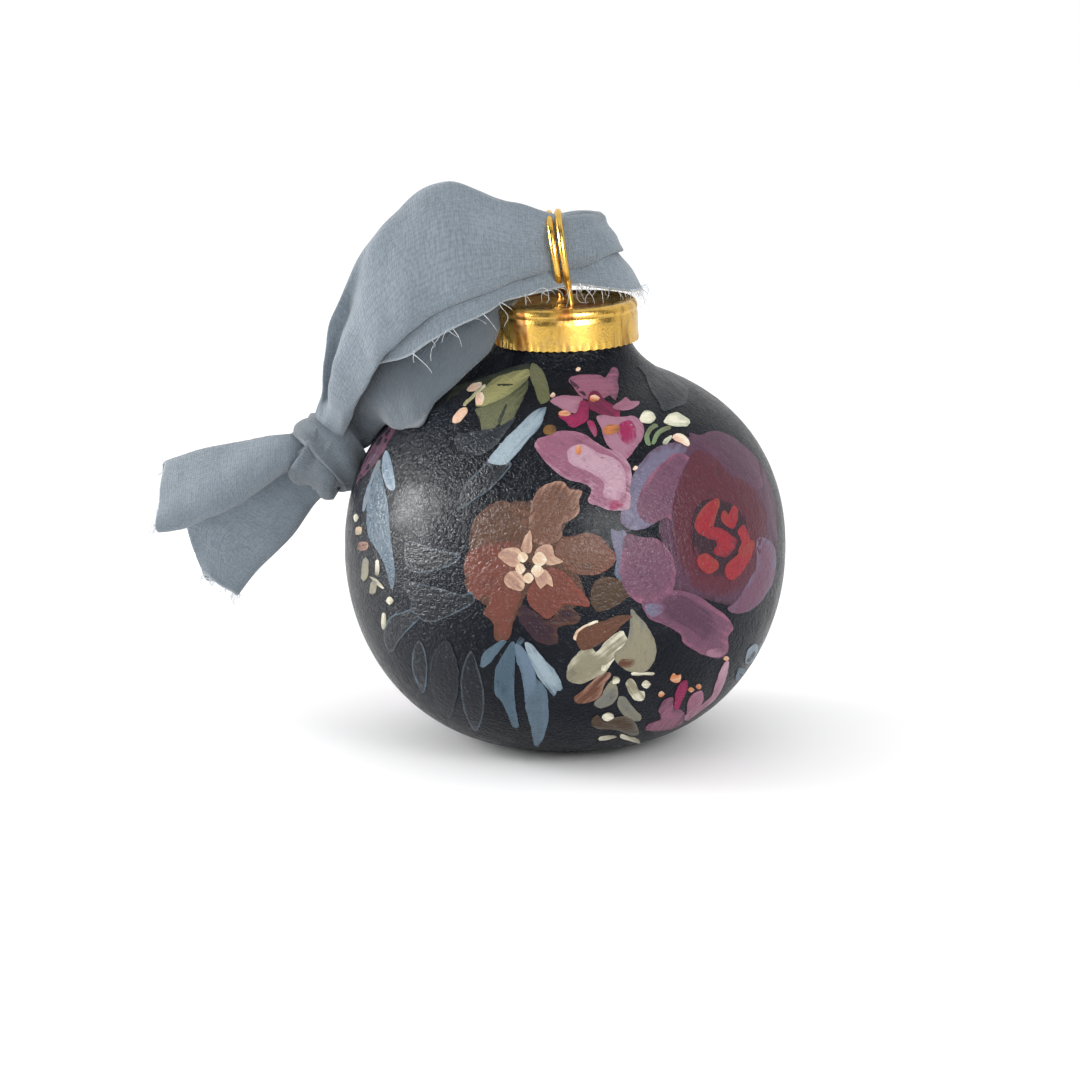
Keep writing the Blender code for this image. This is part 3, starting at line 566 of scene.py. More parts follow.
def crepe_chiffon(name, colour):
    """Crepe: crossed threads that wander, thin slubs, pale threads where an edge has frayed, and painted shade on
    tucked layers.
    """
    settings = bpy.context.scene.ornament_ribbon
    finish = Finish(name, Roughness=0.92, Specular_IOR_Level=0.15, Sheen_Weight=0.35, Sheen_Roughness=0.45)
    weave = finish.weave_map("weave")
    place = finish.millimetres()
    bend = weave.noise(0.6, 2.0) * 0.5
    across, along = weave.part("X") + bend, weave.part("Y") + bend
    pitch = 2 * pi / settings.thread_pitch
    crossed = (across * pitch).sum("SINE") * 0.5 + (along * (pitch * 0.9)).sum("SINE") * 0.5
    slubs = weave.stretch(2.6, 0.3, 1).noise(1.0, 2.0, 0.6) + weave.stretch(0.28, 2.4, 1).noise(1.0, 2.0, 0.6)
    deep = tuple(c * 0.72 for c in colour)
    pale = tuple(min(1.0, c * 1.22 + 0.01) for c in colour)
    crepe = weave.noise(2.1, 2.0, 0.6, 0.3)
    shade = (crossed * 0.06 + slubs * 0.2 + crepe * 0.55 + place.noise(0.08, 2.0) * 0.25).step(0.35, 0.9)
    body = shade.mix(deep, pale)
    body = (place.noise(3.2, 2.0, 0.8).step(0.62, 0.76) * 0.2).mix(body, (0.42, 0.46, 0.5))
    # Painted shade: where the under attribute is set, the cloth's colour is darkened to stand in for the shadow on a
    # tucked inner layer.
    body = finish.attribute("under", "Fac").mix(body, tuple(c * 0.62 for c in colour))
    frayed = (finish.attribute("raw_edge", "Fac") + slubs * 0.6 - 0.7).step(0.15, 0.95)
    body = frayed.mix(body, (0.36, 0.4, 0.44))
    height = crossed * 0.2 + slubs * 0.4 + crepe * 0.9 + place.noise(0.7, 2.0) * 0.6
    return finish.wear(Base_Color=body, height=height, depth=0.00022)


def loose_thread():
    finish = Finish("loose_thread", Roughness=0.8, Sheen_Weight=0.4, Specular_IOR_Level=0.2)
    place = finish.millimetres()
    colour = place.noise(0.9, 2.0).step(0.35, 0.7).mix((0.42, 0.47, 0.52), (0.82, 0.83, 0.84))
    return finish.wear(Base_Color=colour, height=place.noise(6.0, 2.0), depth=0.00004)


# Shapes


def crown_height(radius):
    """Height of the ball's upper half at this radius."""
    return EQUATOR + CROWN_RISE * (1 - (radius / BALL_RADIUS) ** CROWN_FULLNESS) ** (1 / CROWN_FULLNESS)


def ball_profile():
    """The shell's outer side from the neck down to the foot, then its inner side back up."""
    shoulder = crown_height(SHOULDER)
    ends = (NECK_RADIUS, NECK_FOOT), (NECK_RADIUS + 0.3, shoulder + 3.6), (SHOULDER, shoulder)
    outer = [(NECK_RADIUS - 0.5, NECK_TOP), (NECK_RADIUS - 0.12, NECK_TOP - 0.15), (NECK_RADIUS, NECK_TOP - 0.5)]
    for step in range(13):
        t = step / 12
        outer.append(tuple((1 - t) ** 2 * a + 2 * t * (1 - t) * b + t * t * c for a, b, c in zip(*ends)))
    for step in range(1, 49):
        turn = pi / 2 * step / 48
        radius = SHOULDER + (BALL_RADIUS - SHOULDER) * sin(turn)
        outer.append((radius, crown_height(min(radius, BALL_RADIUS))))
    for step in range(1, 41):
        turn = pi / 2 * (1 - step / 40)
        outer.append((FOOT_RADIUS + (BALL_RADIUS - FOOT_RADIUS) * sin(turn), EQUATOR * (1 - cos(turn))))
    outer += [(6.0, 0.05), (0.0, 0.12)]
    inside = BALL_RADIUS - GLASS
    inner = [(0.0, GLASS)]
    for step in range(1, 19):
        turn = pi / 2 * step / 18
        inner.append((inside * sin(turn) ** 0.9, EQUATOR - (EQUATOR - GLASS) * cos(turn)))
    for radius in (38.5, 36.5, 34.0, 31.0, 27.0, 23.0, 19.5, 16.5):
        inner.append((radius * inside / BALL_RADIUS, crown_height(radius) - 1.3 * GLASS))
    bore = NECK_RADIUS - GLASS
    return outer + inner + [(bore, NECK_FOOT - 5), (bore, NECK_TOP - 0.2), (bore + 0.3, NECK_TOP)]


def spin_up(name, profile, steps, material, closed=True):
    """A shape turned about Z from its profile in millimetres."""
    mesh = bpy.data.meshes.new(name)
    last = len(profile) - 1
    edges = [(i, i + 1) for i in range(last)] + ([(last, 0)] if closed else [])
    mesh.from_pydata([(r * MM, 0.0, z * MM) for r, z in profile], edges, [])
    obj = add_object(name, mesh, material)
    in_edit_mode(
        ("spin", {"steps": steps, "angle": 2 * pi, "center": (0, 0, 0), "axis": (0, 0, 1)}),
        ("remove_doubles", {"threshold": 0.000004}),
        ("dissolve_degenerate", {"threshold": 0.000004}),
        ("normals_make_consistent", {"inside": False}),
    )
    bpy.ops.object.shade_smooth_by_angle(angle=radians(40))
    return obj


# Painting


def sheet_point(a, b):
    """A point on the painter's sheet, in millimetres."""
    return SHEET_MIDDLE + Vector((a, b * sin(EYE_RISE), b * cos(EYE_RISE)))


def rounded_outline(points, step, wobble, seed):
    """A closed smooth outline through the points, with a brush's unsteadiness."""
    stations = [Vector(p) for p in points]
    outline = []
    for i, point in enumerate(stations):
        count = max(2, round((stations[(i + 1) % len(stations)] - point).length / step))
        outline += [curve_between(stations, i + j / count, closed=True) for j in range(count)]
    for point in outline:
        shake = noise.noise_vector(Vector((point.x * 0.9, point.y * 0.9, seed)))
        fine = noise.noise_vector(Vector((point.x * 2.6, point.y * 2.6, seed + 5)))
        point += (shake.to_2d() * 1.6 + fine.to_2d()) * wobble
    return outline


def distance_to(outline, point):
    """How far the point is from the outline, and whether it is inside it."""
    nearest, inside = 1e9, False
    before = outline[-1]
    for after in outline:
        edge, to = after - before, point - before
        along = min(max(to.dot(edge) / max(edge.length_squared, 1e-9), 0.0), 1.0)
        nearest = min(nearest, (to - edge * along).length)
        if (after.y > point.y) != (before.y > point.y):
            if point.x < (before.x - after.x) * (point.y - after.y) / (before.y - after.y) + after.x:
                inside = not inside
        before = after
    return nearest, inside


def long_axis(outline):
    """The direction in which the stroke was drawn."""
    middle = sum(outline, Vector((0.0, 0.0))) / len(outline)
    across = sum((p.x - middle.x) * (p.y - middle.y) for p in outline)
    spread = sum((p.x - middle.x) ** 2 - (p.y - middle.y) ** 2 for p in outline)
    turn = 0.5 * atan2(2 * across, spread)
    return middle, Vector((cos(turn), sin(turn)))


class Brush:
    """Lays strokes on the ball as thin closed films, and keeps them until they become a piece."""

    def __init__(self, ball):
        mesh = bmesh.new()
        mesh.from_mesh(ball.data)
        self.tree = BVHTree.FromBMesh(mesh)
        mesh.free()
        self.eye = (SHEET_MIDDLE + Vector((0, -cos(EYE_RISE), sin(EYE_RISE))) * EYE_DISTANCE) * MM
        self.layer = 0
        self.start()

    def start(self):
        self.points, self.faces, self.colours, self.seconds, self.loads, self.maps = [], [], [], [], [], []

    def land(self, a, b):
        """Where the sheet's point falls on the ball, and the ball's normal there."""
        ray = (sheet_point(a, b) * MM - self.eye).normalized()
        place, normal, *_ = self.tree.ray_cast(self.eye, ray)
        if place is None:
            middle = SHEET_MIDDLE * MM
            place, normal, *_ = self.tree.find_nearest(self.eye + ray * (middle - self.eye).dot(ray))
        away = Vector((place.x, place.y, place.z - EQUATOR * MM)).normalized()
        return place, normal if normal.dot(away) > 0 else -normal

    def stroke(self, pigment, second, points, turn=0.0, load=0.0, seed=0.0):
        self.layer += 1
        outline = rounded_outline(points, 0.5, 0.07, seed + self.layer * 3.1)
        flat = [p.to_2d() for p in outline]
        rim = len(flat)
        low, high = (Vector((f(p.x for p in outline), f(p.y for p in outline))) for f in (min, max))
        pitch = 0.8
        for row in range(int((high.y - low.y) / pitch) + 1):
            for column in range(int((high.x - low.x) / pitch) + 1):
                spot = low + Vector((column + 0.5 * (row % 2), row)) * pitch
                nearest, inside = distance_to(outline, spot)
                if inside and nearest > 0.35:
                    flat.append(spot)
        flat, _, triangles, *_ = delaunay_2d_cdt(flat, [], [list(range(rim))], 1, 1e-5)
        middle, along = long_axis(outline)
        reach = max(abs((p - middle).dot(along)) for p in outline)
        first, count = len(self.points), len(flat)
        spin = Matrix.Rotation(turn, 3, "Z")
        tops, sunk = [], []
        lift = (0.02 + 0.008 * self.layer) * MM
        for spot in flat:
            place, normal = self.land(spot.x, spot.y)
            nearest, _ = distance_to(outline, spot)
            tops.append(spin @ (place + normal * (lift + 0.003 * MM * smooth(nearest / 0.7))))
            sunk.append(spin @ (place - normal * 0.03 * MM))
            offset = spot - middle
            forward = offset.dot(along)
            fade = 0.42 * (1 - smooth(nearest / 1.6)) + 0.3 * (0.5 + 0.5 * forward / reach)
            self.loads.append(load + fade)
            self.maps.append((forward + 37 * self.layer, offset.x * along.y - offset.y * along.x))
        self.points += tops + sunk
        self.loads += self.loads[-count:]
        self.maps += self.maps[-count:]
        self.colours += [linear(PIGMENTS[pigment])] * (2 * count)
        self.seconds += [linear(PIGMENTS[second])] * (2 * count)
        ends = {}
        for a, b, c in triangles:
            if (flat[b] - flat[a]).cross(flat[c] - flat[a]) < 0:
                a, b = b, a
            self.faces += [(first + a, first + b, first + c), (first + count + b, first + count + a, first + count + c)]
            for edge in ((a, b), (b, c), (c, a)):
                ends[edge] = None
        for a, b in ends:
            if (b, a) not in ends:
                self.faces.append((first + b, first + a, first + count + a, first + count + b))

    def lift_off(self, name, material):
        """The strokes so far, as one piece."""
        mesh = bpy.data.meshes.new(name)
        mesh.from_pydata(self.points, [], self.faces)
        for layer, values in (("pigment", self.colours), ("second_pigment", self.seconds)):
            attribute = mesh.attributes.new(layer, "FLOAT_COLOR", "POINT")
            attribute.data.foreach_set("color", [x for c in values for x in (*c, 1.0)])
        mesh.attributes.new("load", "FLOAT", "POINT").data.foreach_set("value", self.loads)
        stroke_map = mesh.uv_layers.new(name="stroke")
        for loop in mesh.loops:
            stroke_map.data[loop.index].uv = self.maps[loop.vertex_index]
        mesh.shade_smooth()
        self.start()
        obj = add_object(name, mesh, material)
        bpy.ops.object.shade_smooth_by_angle(angle=radians(50))
        return obj


def outline_points(text):
    return [tuple(float(x) for x in pair.split(",")) for pair in text.split()]


def inset(points, amount):
    """The outline drawn in by this much."""
    middle = sum((Vector(p) for p in points), Vector((0.0, 0.0))) / len(points)
    result = []
    for i, point in enumerate(points):
        before, after = Vector(points[i - 1]), Vector(points[(i + 1) % len(points)])
        edge = (after - before).normalized()
        inward = Vector((-edge.y, edge.x))
        point = Vector(point)
        inward = inward if inward.dot(middle - point) > 0 else -inward
        result.append(tuple(point + inward * amount))
    return result


MOTIFS = {
    "green_leaves": GREEN_LEAVES, "pale_blade": BLADE, "orchid": ORCHID, "orchid_buds": BUDS,
    "brown_flower": BROWN_FLOWER, "rose": ROSE, "autumn_leaves": AUTUMN_LEAVES, "blue_leaves": BLUE_LEAVES,
    "left_spray": LEFT_SPRAY, "small_pinks": SMALL_PINKS,
}


def paint_motif(brush, name, strokes, turn, material):
    for number, (pigment, second, outline) in enumerate(strokes):
        brush.stroke(pigment, second, outline_points(outline), turn, seed=turn * 9 + number)
    return brush.lift_off(name, material)


def paint_outlined_leaves(brush, name, turn, material):
    """Leaves drawn as a pale line round the dark ground, the last one fainter."""
    for number, text in enumerate(DARK_LEAVES):
        points = outline_points(text)
        faint = number == len(DARK_LEAVES) - 1
        brush.stroke("slate" if faint else "line", "steel", points, turn, load=-0.25 if faint else -0.1)
        brush.stroke("night", "slate", inset(points, 0.3), turn, load=-0.1)
    return brush.lift_off(name, material)


# Wire and threads


def tube(name, routes, radius, material, sides=3, taper=False):
    """Tubes along the routes, as one mesh."""
    curve = bpy.data.curves.new(name, "CURVE")
    curve.dimensions = "3D"
    curve.bevel_depth = radius * MM
    curve.bevel_resolution = sides
    curve.use_fill_caps = True
    for route in routes:
        spline = curve.splines.new("POLY")
        spline.points.add(len(route) - 1)
        for i, (point, spot) in enumerate(zip(spline.points, route)):
            point.co = (*(Vector(spot) * MM), 1.0)
            point.radius = 1 - 0.6 * i / len(route) if taper else 1.0
    obj = bpy.data.objects.new(name, curve)
    bpy.context.scene.collection.objects.link(obj)
    make_active(obj)
    bpy.ops.object.convert(target="MESH")
    obj = bpy.context.view_layer.objects.active
    obj.data.materials.clear()
    obj.data.materials.append(material)
    in_edit_mode(
        ("remove_doubles", {"threshold": 0.000002}),
        ("normals_make_consistent", {"inside": False}),
    )
    bpy.ops.object.shade_smooth_by_angle(angle=radians(50))
    return obj


def hanger_route():
    """The wire's middle line, its origin between the leg holes and its loop upright."""
    leg = [Vector(p) for p in (
        (0.75, -8.4, -17.0), (0.75, -7.22, -10.54), (0.75, -6.0, -4.25), (0.75, -4.9, -1.5), (0.75, -4.8, 0.6),
    )]
    leg = [curve_between(leg, i / 5) for i in range(21)]
    turns = []
    for step in range(241):
        angle = 0.93 + (4 * pi - 1.86) * step / 240
        side = 1 - 2 * smooth((angle - (2 * pi - 1.1)) / 2.2)
        offset = side * (0.72 + 0.05 * (1 - cos(angle)))
        turns.append(Vector((offset, -6.0 * sin(angle), 8.75 - 7.35 * cos(angle))))
    other_leg = [Vector((-p.x, -p.y, p.z)) for p in reversed(leg)]
    return leg + turns[1:-1] + other_leg


def cap_profile():
    """The cap's sheet from the top's middle over the shoulder to the rim and back up inside."""
    top, dish = CAP_HEIGHT, 0.35
    outer = [(0.0, top - dish)] + [(r, top - dish) for r in (3.0, 6.0, 9.0, 10.0)]
    outer += [(10.3, top - dish + 0.04), (10.65, top - 0.12), (11.0, top - 0.01), (11.4, top)]
    for step in range(7):
        turn = radians(15 * step)
        outer.append((CAP_RADIUS - 1.25 * (1 - sin(turn)), top - 1.25 * (1 - cos(turn))))
    outer += [(CAP_RADIUS - 0.02, top - 1.6), (CAP_RADIUS - 0.2, top - 1.85), (CAP_RADIUS - 0.22, top - 2.0)]
    outer += [(CAP_RADIUS - 0.03, top - 2.3), (CAP_RADIUS, top - 3.0)]
    outer += [(CAP_RADIUS, z) for z in (3.6, 2.8, 2.0, 1.6, 1.2, 0.8, 0.4, 0.0)]
    inner_radius, inner_top = CAP_RADIUS - CAP_SHEET, top - dish - CAP_SHEET
    inner = [(inner_radius, z) for z in (0.0, 0.4, 0.8, 1.2, 1.6, 2.0, 3.6, inner_top - 0.6)]
    return outer + inner + [(inner_radius - 0.5, inner_top), (9.0, inner_top), (0.0, inner_top)]


def crimp_rim(obj, teeth):
    """Presses the cap's lower edge into fine teeth."""
    for vert in obj.data.vertices:
        z = vert.co.z / MM
        if z < 2.0 and hypot(vert.co.x, vert.co.y) > 10 * MM:
            turn = atan2(vert.co.y, vert.co.x)
            share = 1 - smooth(z / 1.9)
            wave = sin(teeth * turn + 1.2 * sin(3 * turn) + 0.8 * sin(7 * turn))
            push = 1 + 0.005 * share * wave
            vert.co.x *= push
            vert.co.y *= push
            vert.co.z += 0.1 * MM * share * wave * (1 - smooth(z / 0.9))


# Ribbon


def mixed(first, second, t):
    return [(a + (c - a) * t, b + (d - b) * t) for (a, b), (c, d) in zip(first, second)]


def ribbon_sheet(name, stations, fold_at, rings, across, wrinkle, material, seed, raw=(1,), trim=None, facing=1, under=lambda share, v: 0.0, groove=None):
    """A sheet folded to a section at each station. fold_at gives the section at a share of its length."""
    tops, bottoms = ([Vector(s[i]) for s in stations] for i in (0, 1))
    halves = [Vector((s[2], 0, 0)) for s in stations]
    last = len(stations) - 1
    places = [(curve_between(tops, last * i / rings), curve_between(bottoms, last * i / rings)) for i in range(rings + 1)]
    middles = [(a + b) / 2 for a, b in places]
    points, edges_raw, painted_shade, maps = [], [], [], []
    length = 0.0
    for i, (top, bottom) in enumerate(places):
        along = middles[min(i + 1, rings)] - middles[max(i - 1, 0)]
        length += (middles[i] - middles[max(i - 1, 0)]).length
        rise = top - bottom
        out = along.cross(rise).normalized()
        half = curve_between(halves, last * i / rings).x
        section = [Vector(p) for p in fold_at(i / rings)]
        for j in range(across + 1):
            v = j / across
            spot = curve_between(section, v * (len(section) - 1))
            point = bottom + rise * spot.x + out * half * spot.y * facing
            where = Vector((length * 0.085, v * 5.5, seed))
            crease = noise.noise(where) * 1.0 + noise.noise(where * 2.3 + Vector((9, 0, 0))) * 0.45
            if groove:
                point -= out * groove(i / rings, v)
            fine = noise.noise(Vector((length * 0.5, v * 16, seed + 4)))
            strength = wrinkle * (0.35 + 0.65 * smooth(min(v, 1 - v) * 8))
            point += out * crease * strength + rise.normalized() * crease * strength * 0.35
            point += out * fine * 0.13
            if trim:
                point += along.normalized() * trim(i / rings, v)
            points.append(rest_on_ball(point) * MM)
            closeness = max([0.0] + [1 - min(1.0, abs(v - r) * 48 / 0.9) for r in raw if r in (0, 1)])
            if "end" in raw:
                closeness = max(closeness, 1 - min(1.0, (1 - i / rings) * 25))
            # Painted shade for tucked layers; where it is set, the pale frayed edge is dimmed too.
            painted_shade.append(under(i / rings, v))
            edges_raw.append(closeness * (1 - 0.8 * painted_shade[-1]))
            maps.append((v * 48.0, length))
    row = across + 1
    faces = [
        (i * row + j, i * row + j + 1, (i + 1) * row + j + 1, (i + 1) * row + j)
        for i in range(rings) for j in range(across)
    ]
    mesh = bpy.data.meshes.new(name)
    mesh.from_pydata(points, [], faces)
    mesh.attributes.new("raw_edge", "FLOAT", "POINT").data.foreach_set("value", edges_raw)
    mesh.attributes.new("under", "FLOAT", "POINT").data.foreach_set("value", painted_shade)
    weave = mesh.uv_layers.new(name="weave")
    for loop in mesh.loops:
        weave.data[loop.index].uv = maps[loop.vertex_index]
    obj = add_object(name, mesh, material)
    mesh.shade_smooth()
    apply_modifier(obj, "SOLIDIFY", thickness=0.22 * MM, offset=0.0, use_even_offset=False)
    return obj, [Vector(p) / MM for p in points], row


def rest_on_ball(point):
    """A point of the cloth, lifted out of the ball where it would sink in."""
    radius = hypot(point.x, point.y)
    if radius < BALL_RADIUS - 0.2 and point.z > EQUATOR:
        point.z = max(point.z, crown_height(radius) + 0.45)
    return point


def frayed_edge(name, edge, outward, count, reach, material, seed):
    """Loose threads that curl away from a cut edge, in clumps."""
    chance = random.Random(seed)
    clumps = [chance.uniform(0.0, 1.0) for _ in range(max(1, count // 9))]
    routes = []
    for _ in range(count):
        share = chance.choice(clumps) + chance.gauss(0, 0.02)
        heading = outward(share)
        if not 0 < share < 1 or heading is None:
            continue
        first = min(int(share * (len(edge) - 1)), len(edge) - 2)
        start = edge[first].lerp(edge[first + 1], share * (len(edge) - 1) - first)
        along = (edge[first + 1] - edge[first]).normalized()
        heading = (heading + along * chance.gauss(0, 0.8)).normalized()
        side = Vector((chance.gauss(0, 1), chance.gauss(0, 0.4), chance.gauss(0, 1))).normalized()
        length = reach * chance.uniform(0.3, 1.0) ** 1.4
        curl = chance.uniform(1.5, 8.0)
        route, point = [], start - heading * 0.4
        steps = 13
        for step in range(steps):
            route.append(point.copy())
            turning = side * cos(step * chance.uniform(0.3, 0.5))
            heading = (heading + turning * curl / steps + Vector((0, 0, -0.04))).normalized()
            point = rest_on_ball(point + heading * (length + 0.4) / (steps - 1))
        routes.append(route)
    return tube(name, routes, 0.075, material, sides=0, taper=True)


def gathered(share):
    """How far the loop is gathered at this share of its length: 1 inside the wire, 0 in the two runs."""
    return smooth((share - 0.4) / 0.08) * (1 - smooth((share - 0.64) / 0.08))


def loop_fold(share):
    turned = smooth((share - 0.49) / 0.07) * (1 - smooth((share - 0.6) / 0.08))
    strand = mixed(KNOT_END_FOLD, STRAND_FOLD, smooth((share - 0.16) / 0.13))
    return mixed(strand, mixed(BIGHT_FOLD, TURN_FOLD, turned), gathered(share))


def knot_band(name, tilt, swing, width, reach, lift, material, seed):
    """One wrap of the knot: a pleated band round it, its edges turned under."""
    rings, across = 84, 22
    points, maps = [], []
    frame_turn = Matrix.Rotation(swing, 3, "Z") @ Matrix.Rotation(tilt, 3, "Y")
    for i in range(rings):
        turn = 2 * pi * i / rings
        for j in range(across + 1):
            v = j / across * 2 - 1
            ride = abs(v)
            tuck = smooth((ride - 0.72) / 0.28)
            x = width * (v - (v / max(ride, 1e-6)) * 0.9 * max(0.0, ride - 0.72)) * (1 + 0.18 * sin(turn * 2 + seed))
            pleat = 0.34 * sin(v * 6.5 + seed + 1.3 * sin(turn + seed)) * (1 - tuck)
            crease = noise.noise(Vector((cos(turn) * 1.3, sin(turn) * 1.3, v * 2.2 + seed * 3)))
            radius = reach * (1 - 0.1 * v * v) + lift - 1.5 * tuck + pleat + crease * 0.5
            spot = Vector((x, radius * cos(turn), radius * sin(turn)))
            spot = frame_turn @ spot
            spot = Vector((spot.x * KNOT_HALF_SIZE.x / 6.6, spot.y * KNOT_HALF_SIZE.y / 6.6, spot.z * KNOT_HALF_SIZE.z / 7.6))
            points.append((KNOT_MIDDLE + spot) * MM)
            maps.append((v * 14, turn * reach))
    row = across + 1
    faces = [
        (i * row + j, i * row + j + 1, (i + 1) % rings * row + j + 1, (i + 1) % rings * row + j)
        for i in range(rings) for j in range(across)
    ]
    mesh = bpy.data.meshes.new(name)
    mesh.from_pydata(points, [], [tuple(reversed(f)) for f in faces])
    mesh.attributes.new("raw_edge", "FLOAT", "POINT")
    weave = mesh.uv_layers.new(name="weave")
    for loop in mesh.loops:
        weave.data[loop.index].uv = maps[loop.vertex_index]
    obj = add_object(name, mesh, material)
    mesh.shade_smooth()
    apply_modifier(obj, "SOLIDIFY", thickness=0.25 * MM, offset=0.0, use_even_offset=False)
    return obj


# Settings


class ORNAMENT_PG_paint(bpy.types.PropertyGroup):
    ground_colour: FloatVectorProperty(
        name="Ground", description="Colour of the varnished ground under the flowers", subtype="COLOR",
        size=3, min=0, max=1, default=(0.003, 0.0044, 0.0078),
    )
    gloss: FloatProperty(
        name="Gloss", description="How strongly the varnish mirrors light", subtype="FACTOR", min=0, max=1, default=0.08,
    )


class ORNAMENT_PG_metal(bpy.types.PropertyGroup):
    brass_colour: FloatVectorProperty(
        name="Brass", description="Colour of clean brass", subtype="COLOR", size=3, min=0, max=1,
        default=(0.74, 0.46, 0.1),
    )
    rim_teeth: IntProperty(name="Rim teeth", description="Teeth pressed into the cap's lower edge", min=12, max=120, default=54)


class ORNAMENT_PG_ribbon(bpy.types.PropertyGroup):
    cloth_colour: FloatVectorProperty(
        name="Chiffon", description="Colour of the ribbon", subtype="COLOR", size=3, min=0, max=1,
        default=(0.18, 0.218, 0.255),
    )
    thread_pitch: FloatProperty(
        name="Thread pitch", description="Space between two threads of the weave, in millimetres", min=0.2, max=2, default=0.38,
    )
    loose_threads: IntProperty(name="Loose threads", description="Threads along each long cut edge", min=0, max=400, default=180)


class ORNAMENT_PG_stage(bpy.types.PropertyGroup):
    floor_colour: FloatVectorProperty(
        name="Floor", description="Colour of the floor", subtype="COLOR", size=3, min=0, max=1, default=(0.96, 0.96, 0.965),
    )
    window_power: FloatProperty(
        name="Window", description="Power of the soft window light", subtype="POWER", min=0, max=200, default=2.6,
    )
    softbox_power: FloatProperty(
        name="Softbox", description="Power of the softbox in front", subtype="POWER", min=0, max=200, default=2.0,
    )


# Operators


class BuilderOperator:
    bl_options = {"REGISTER", "UNDO"}

    def execute(self, context):
        self.build(context.scene)
        deselect_all()
        return {"FINISHED"}


class ORNAMENT_OT_ball(BuilderOperator, bpy.types.Operator):
    """Turn the hollow glass ball with its neck"""

    bl_idname = "ornament.ball"
    bl_label = "Glass Ball"

    def build(self, scene):
        ball = spin_up("ball_shell", ball_profile(), 160, navy_varnish())
        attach(ball, "ball")
        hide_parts("glass_ball")


class ORNAMENT_OT_painting(BuilderOperator, bpy.types.Operator):
    """Paint the flowers and leaves on the ball, front and back"""

    bl_idname = "ornament.painting"
    bl_label = "Painting"

    def build(self, scene):
        brush = Brush(bpy.data.objects["ball_shell"])
        paint = brushed_paint()
        for side, turn in (("front", 0.0), ("back", pi)):
            brush.layer = 0
            pieces = [paint_outlined_leaves(brush, f"paint_{side}_dark_leaves", turn, paint)]
            for rank, name in enumerate(MOTIFS):
                brush.layer = 6 * (rank % 2)
                pieces.append(paint_motif(brush, f"paint_{side}_{name}", MOTIFS[name], turn, paint))
            for piece in pieces:
                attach(piece, "ball")


class ORNAMENT_OT_cap(BuilderOperator, bpy.types.Operator):
    """Turn the brass cap, crimp its rim and drill its leg holes"""

    bl_idname = "ornament.cap"
    bl_label = "Cap"

    def build(self, scene):
        cap = spin_up("cap_shell", cap_profile(), 324, worn_brass("cap_brass", 0.85, 1.0), closed=False)
        crimp_rim(cap, scene.ornament_metal.rim_teeth)
        for x, y in LEG_HOLES:
            bpy.ops.mesh.primitive_cylinder_add(
                vertices=32, radius=MM, depth=4 * MM, location=(x * MM, y * MM, CAP_HEIGHT * MM),
            )
            drill = bpy.context.view_layer.objects.active
            apply_modifier(cap, "BOOLEAN", operation="DIFFERENCE", solver="EXACT", object=drill)
            bpy.data.objects.remove(drill)
        make_active(cap)
        bpy.ops.object.shade_smooth_by_angle(angle=radians(40))
        place(cap, Matrix.Translation(CAP_SEAT * MM) @ Matrix.Rotation(CAP_TILT, 4, "Y"))
        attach(cap, "cap")
        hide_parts("crown_cap")


class ORNAMENT_OT_wire(BuilderOperator, bpy.types.Operator):
    """Wind the two-turn wire hanger with its spring legs"""

    bl_idname = "ornament.wire"
    bl_label = "Wire Hanger"

    def build(self, scene):
        wire = tube("hanger_wire", [hanger_route()], WIRE_RADIUS, worn_brass("wire_brass", 1.0, 0.25), sides=5)
        place(wire, Matrix.Translation(WIRE_PIVOT * MM) @ Matrix.Rotation(WIRE_LEAN, 4, "Y"))
        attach(wire, "hanger")
        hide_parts("wire_hanger")


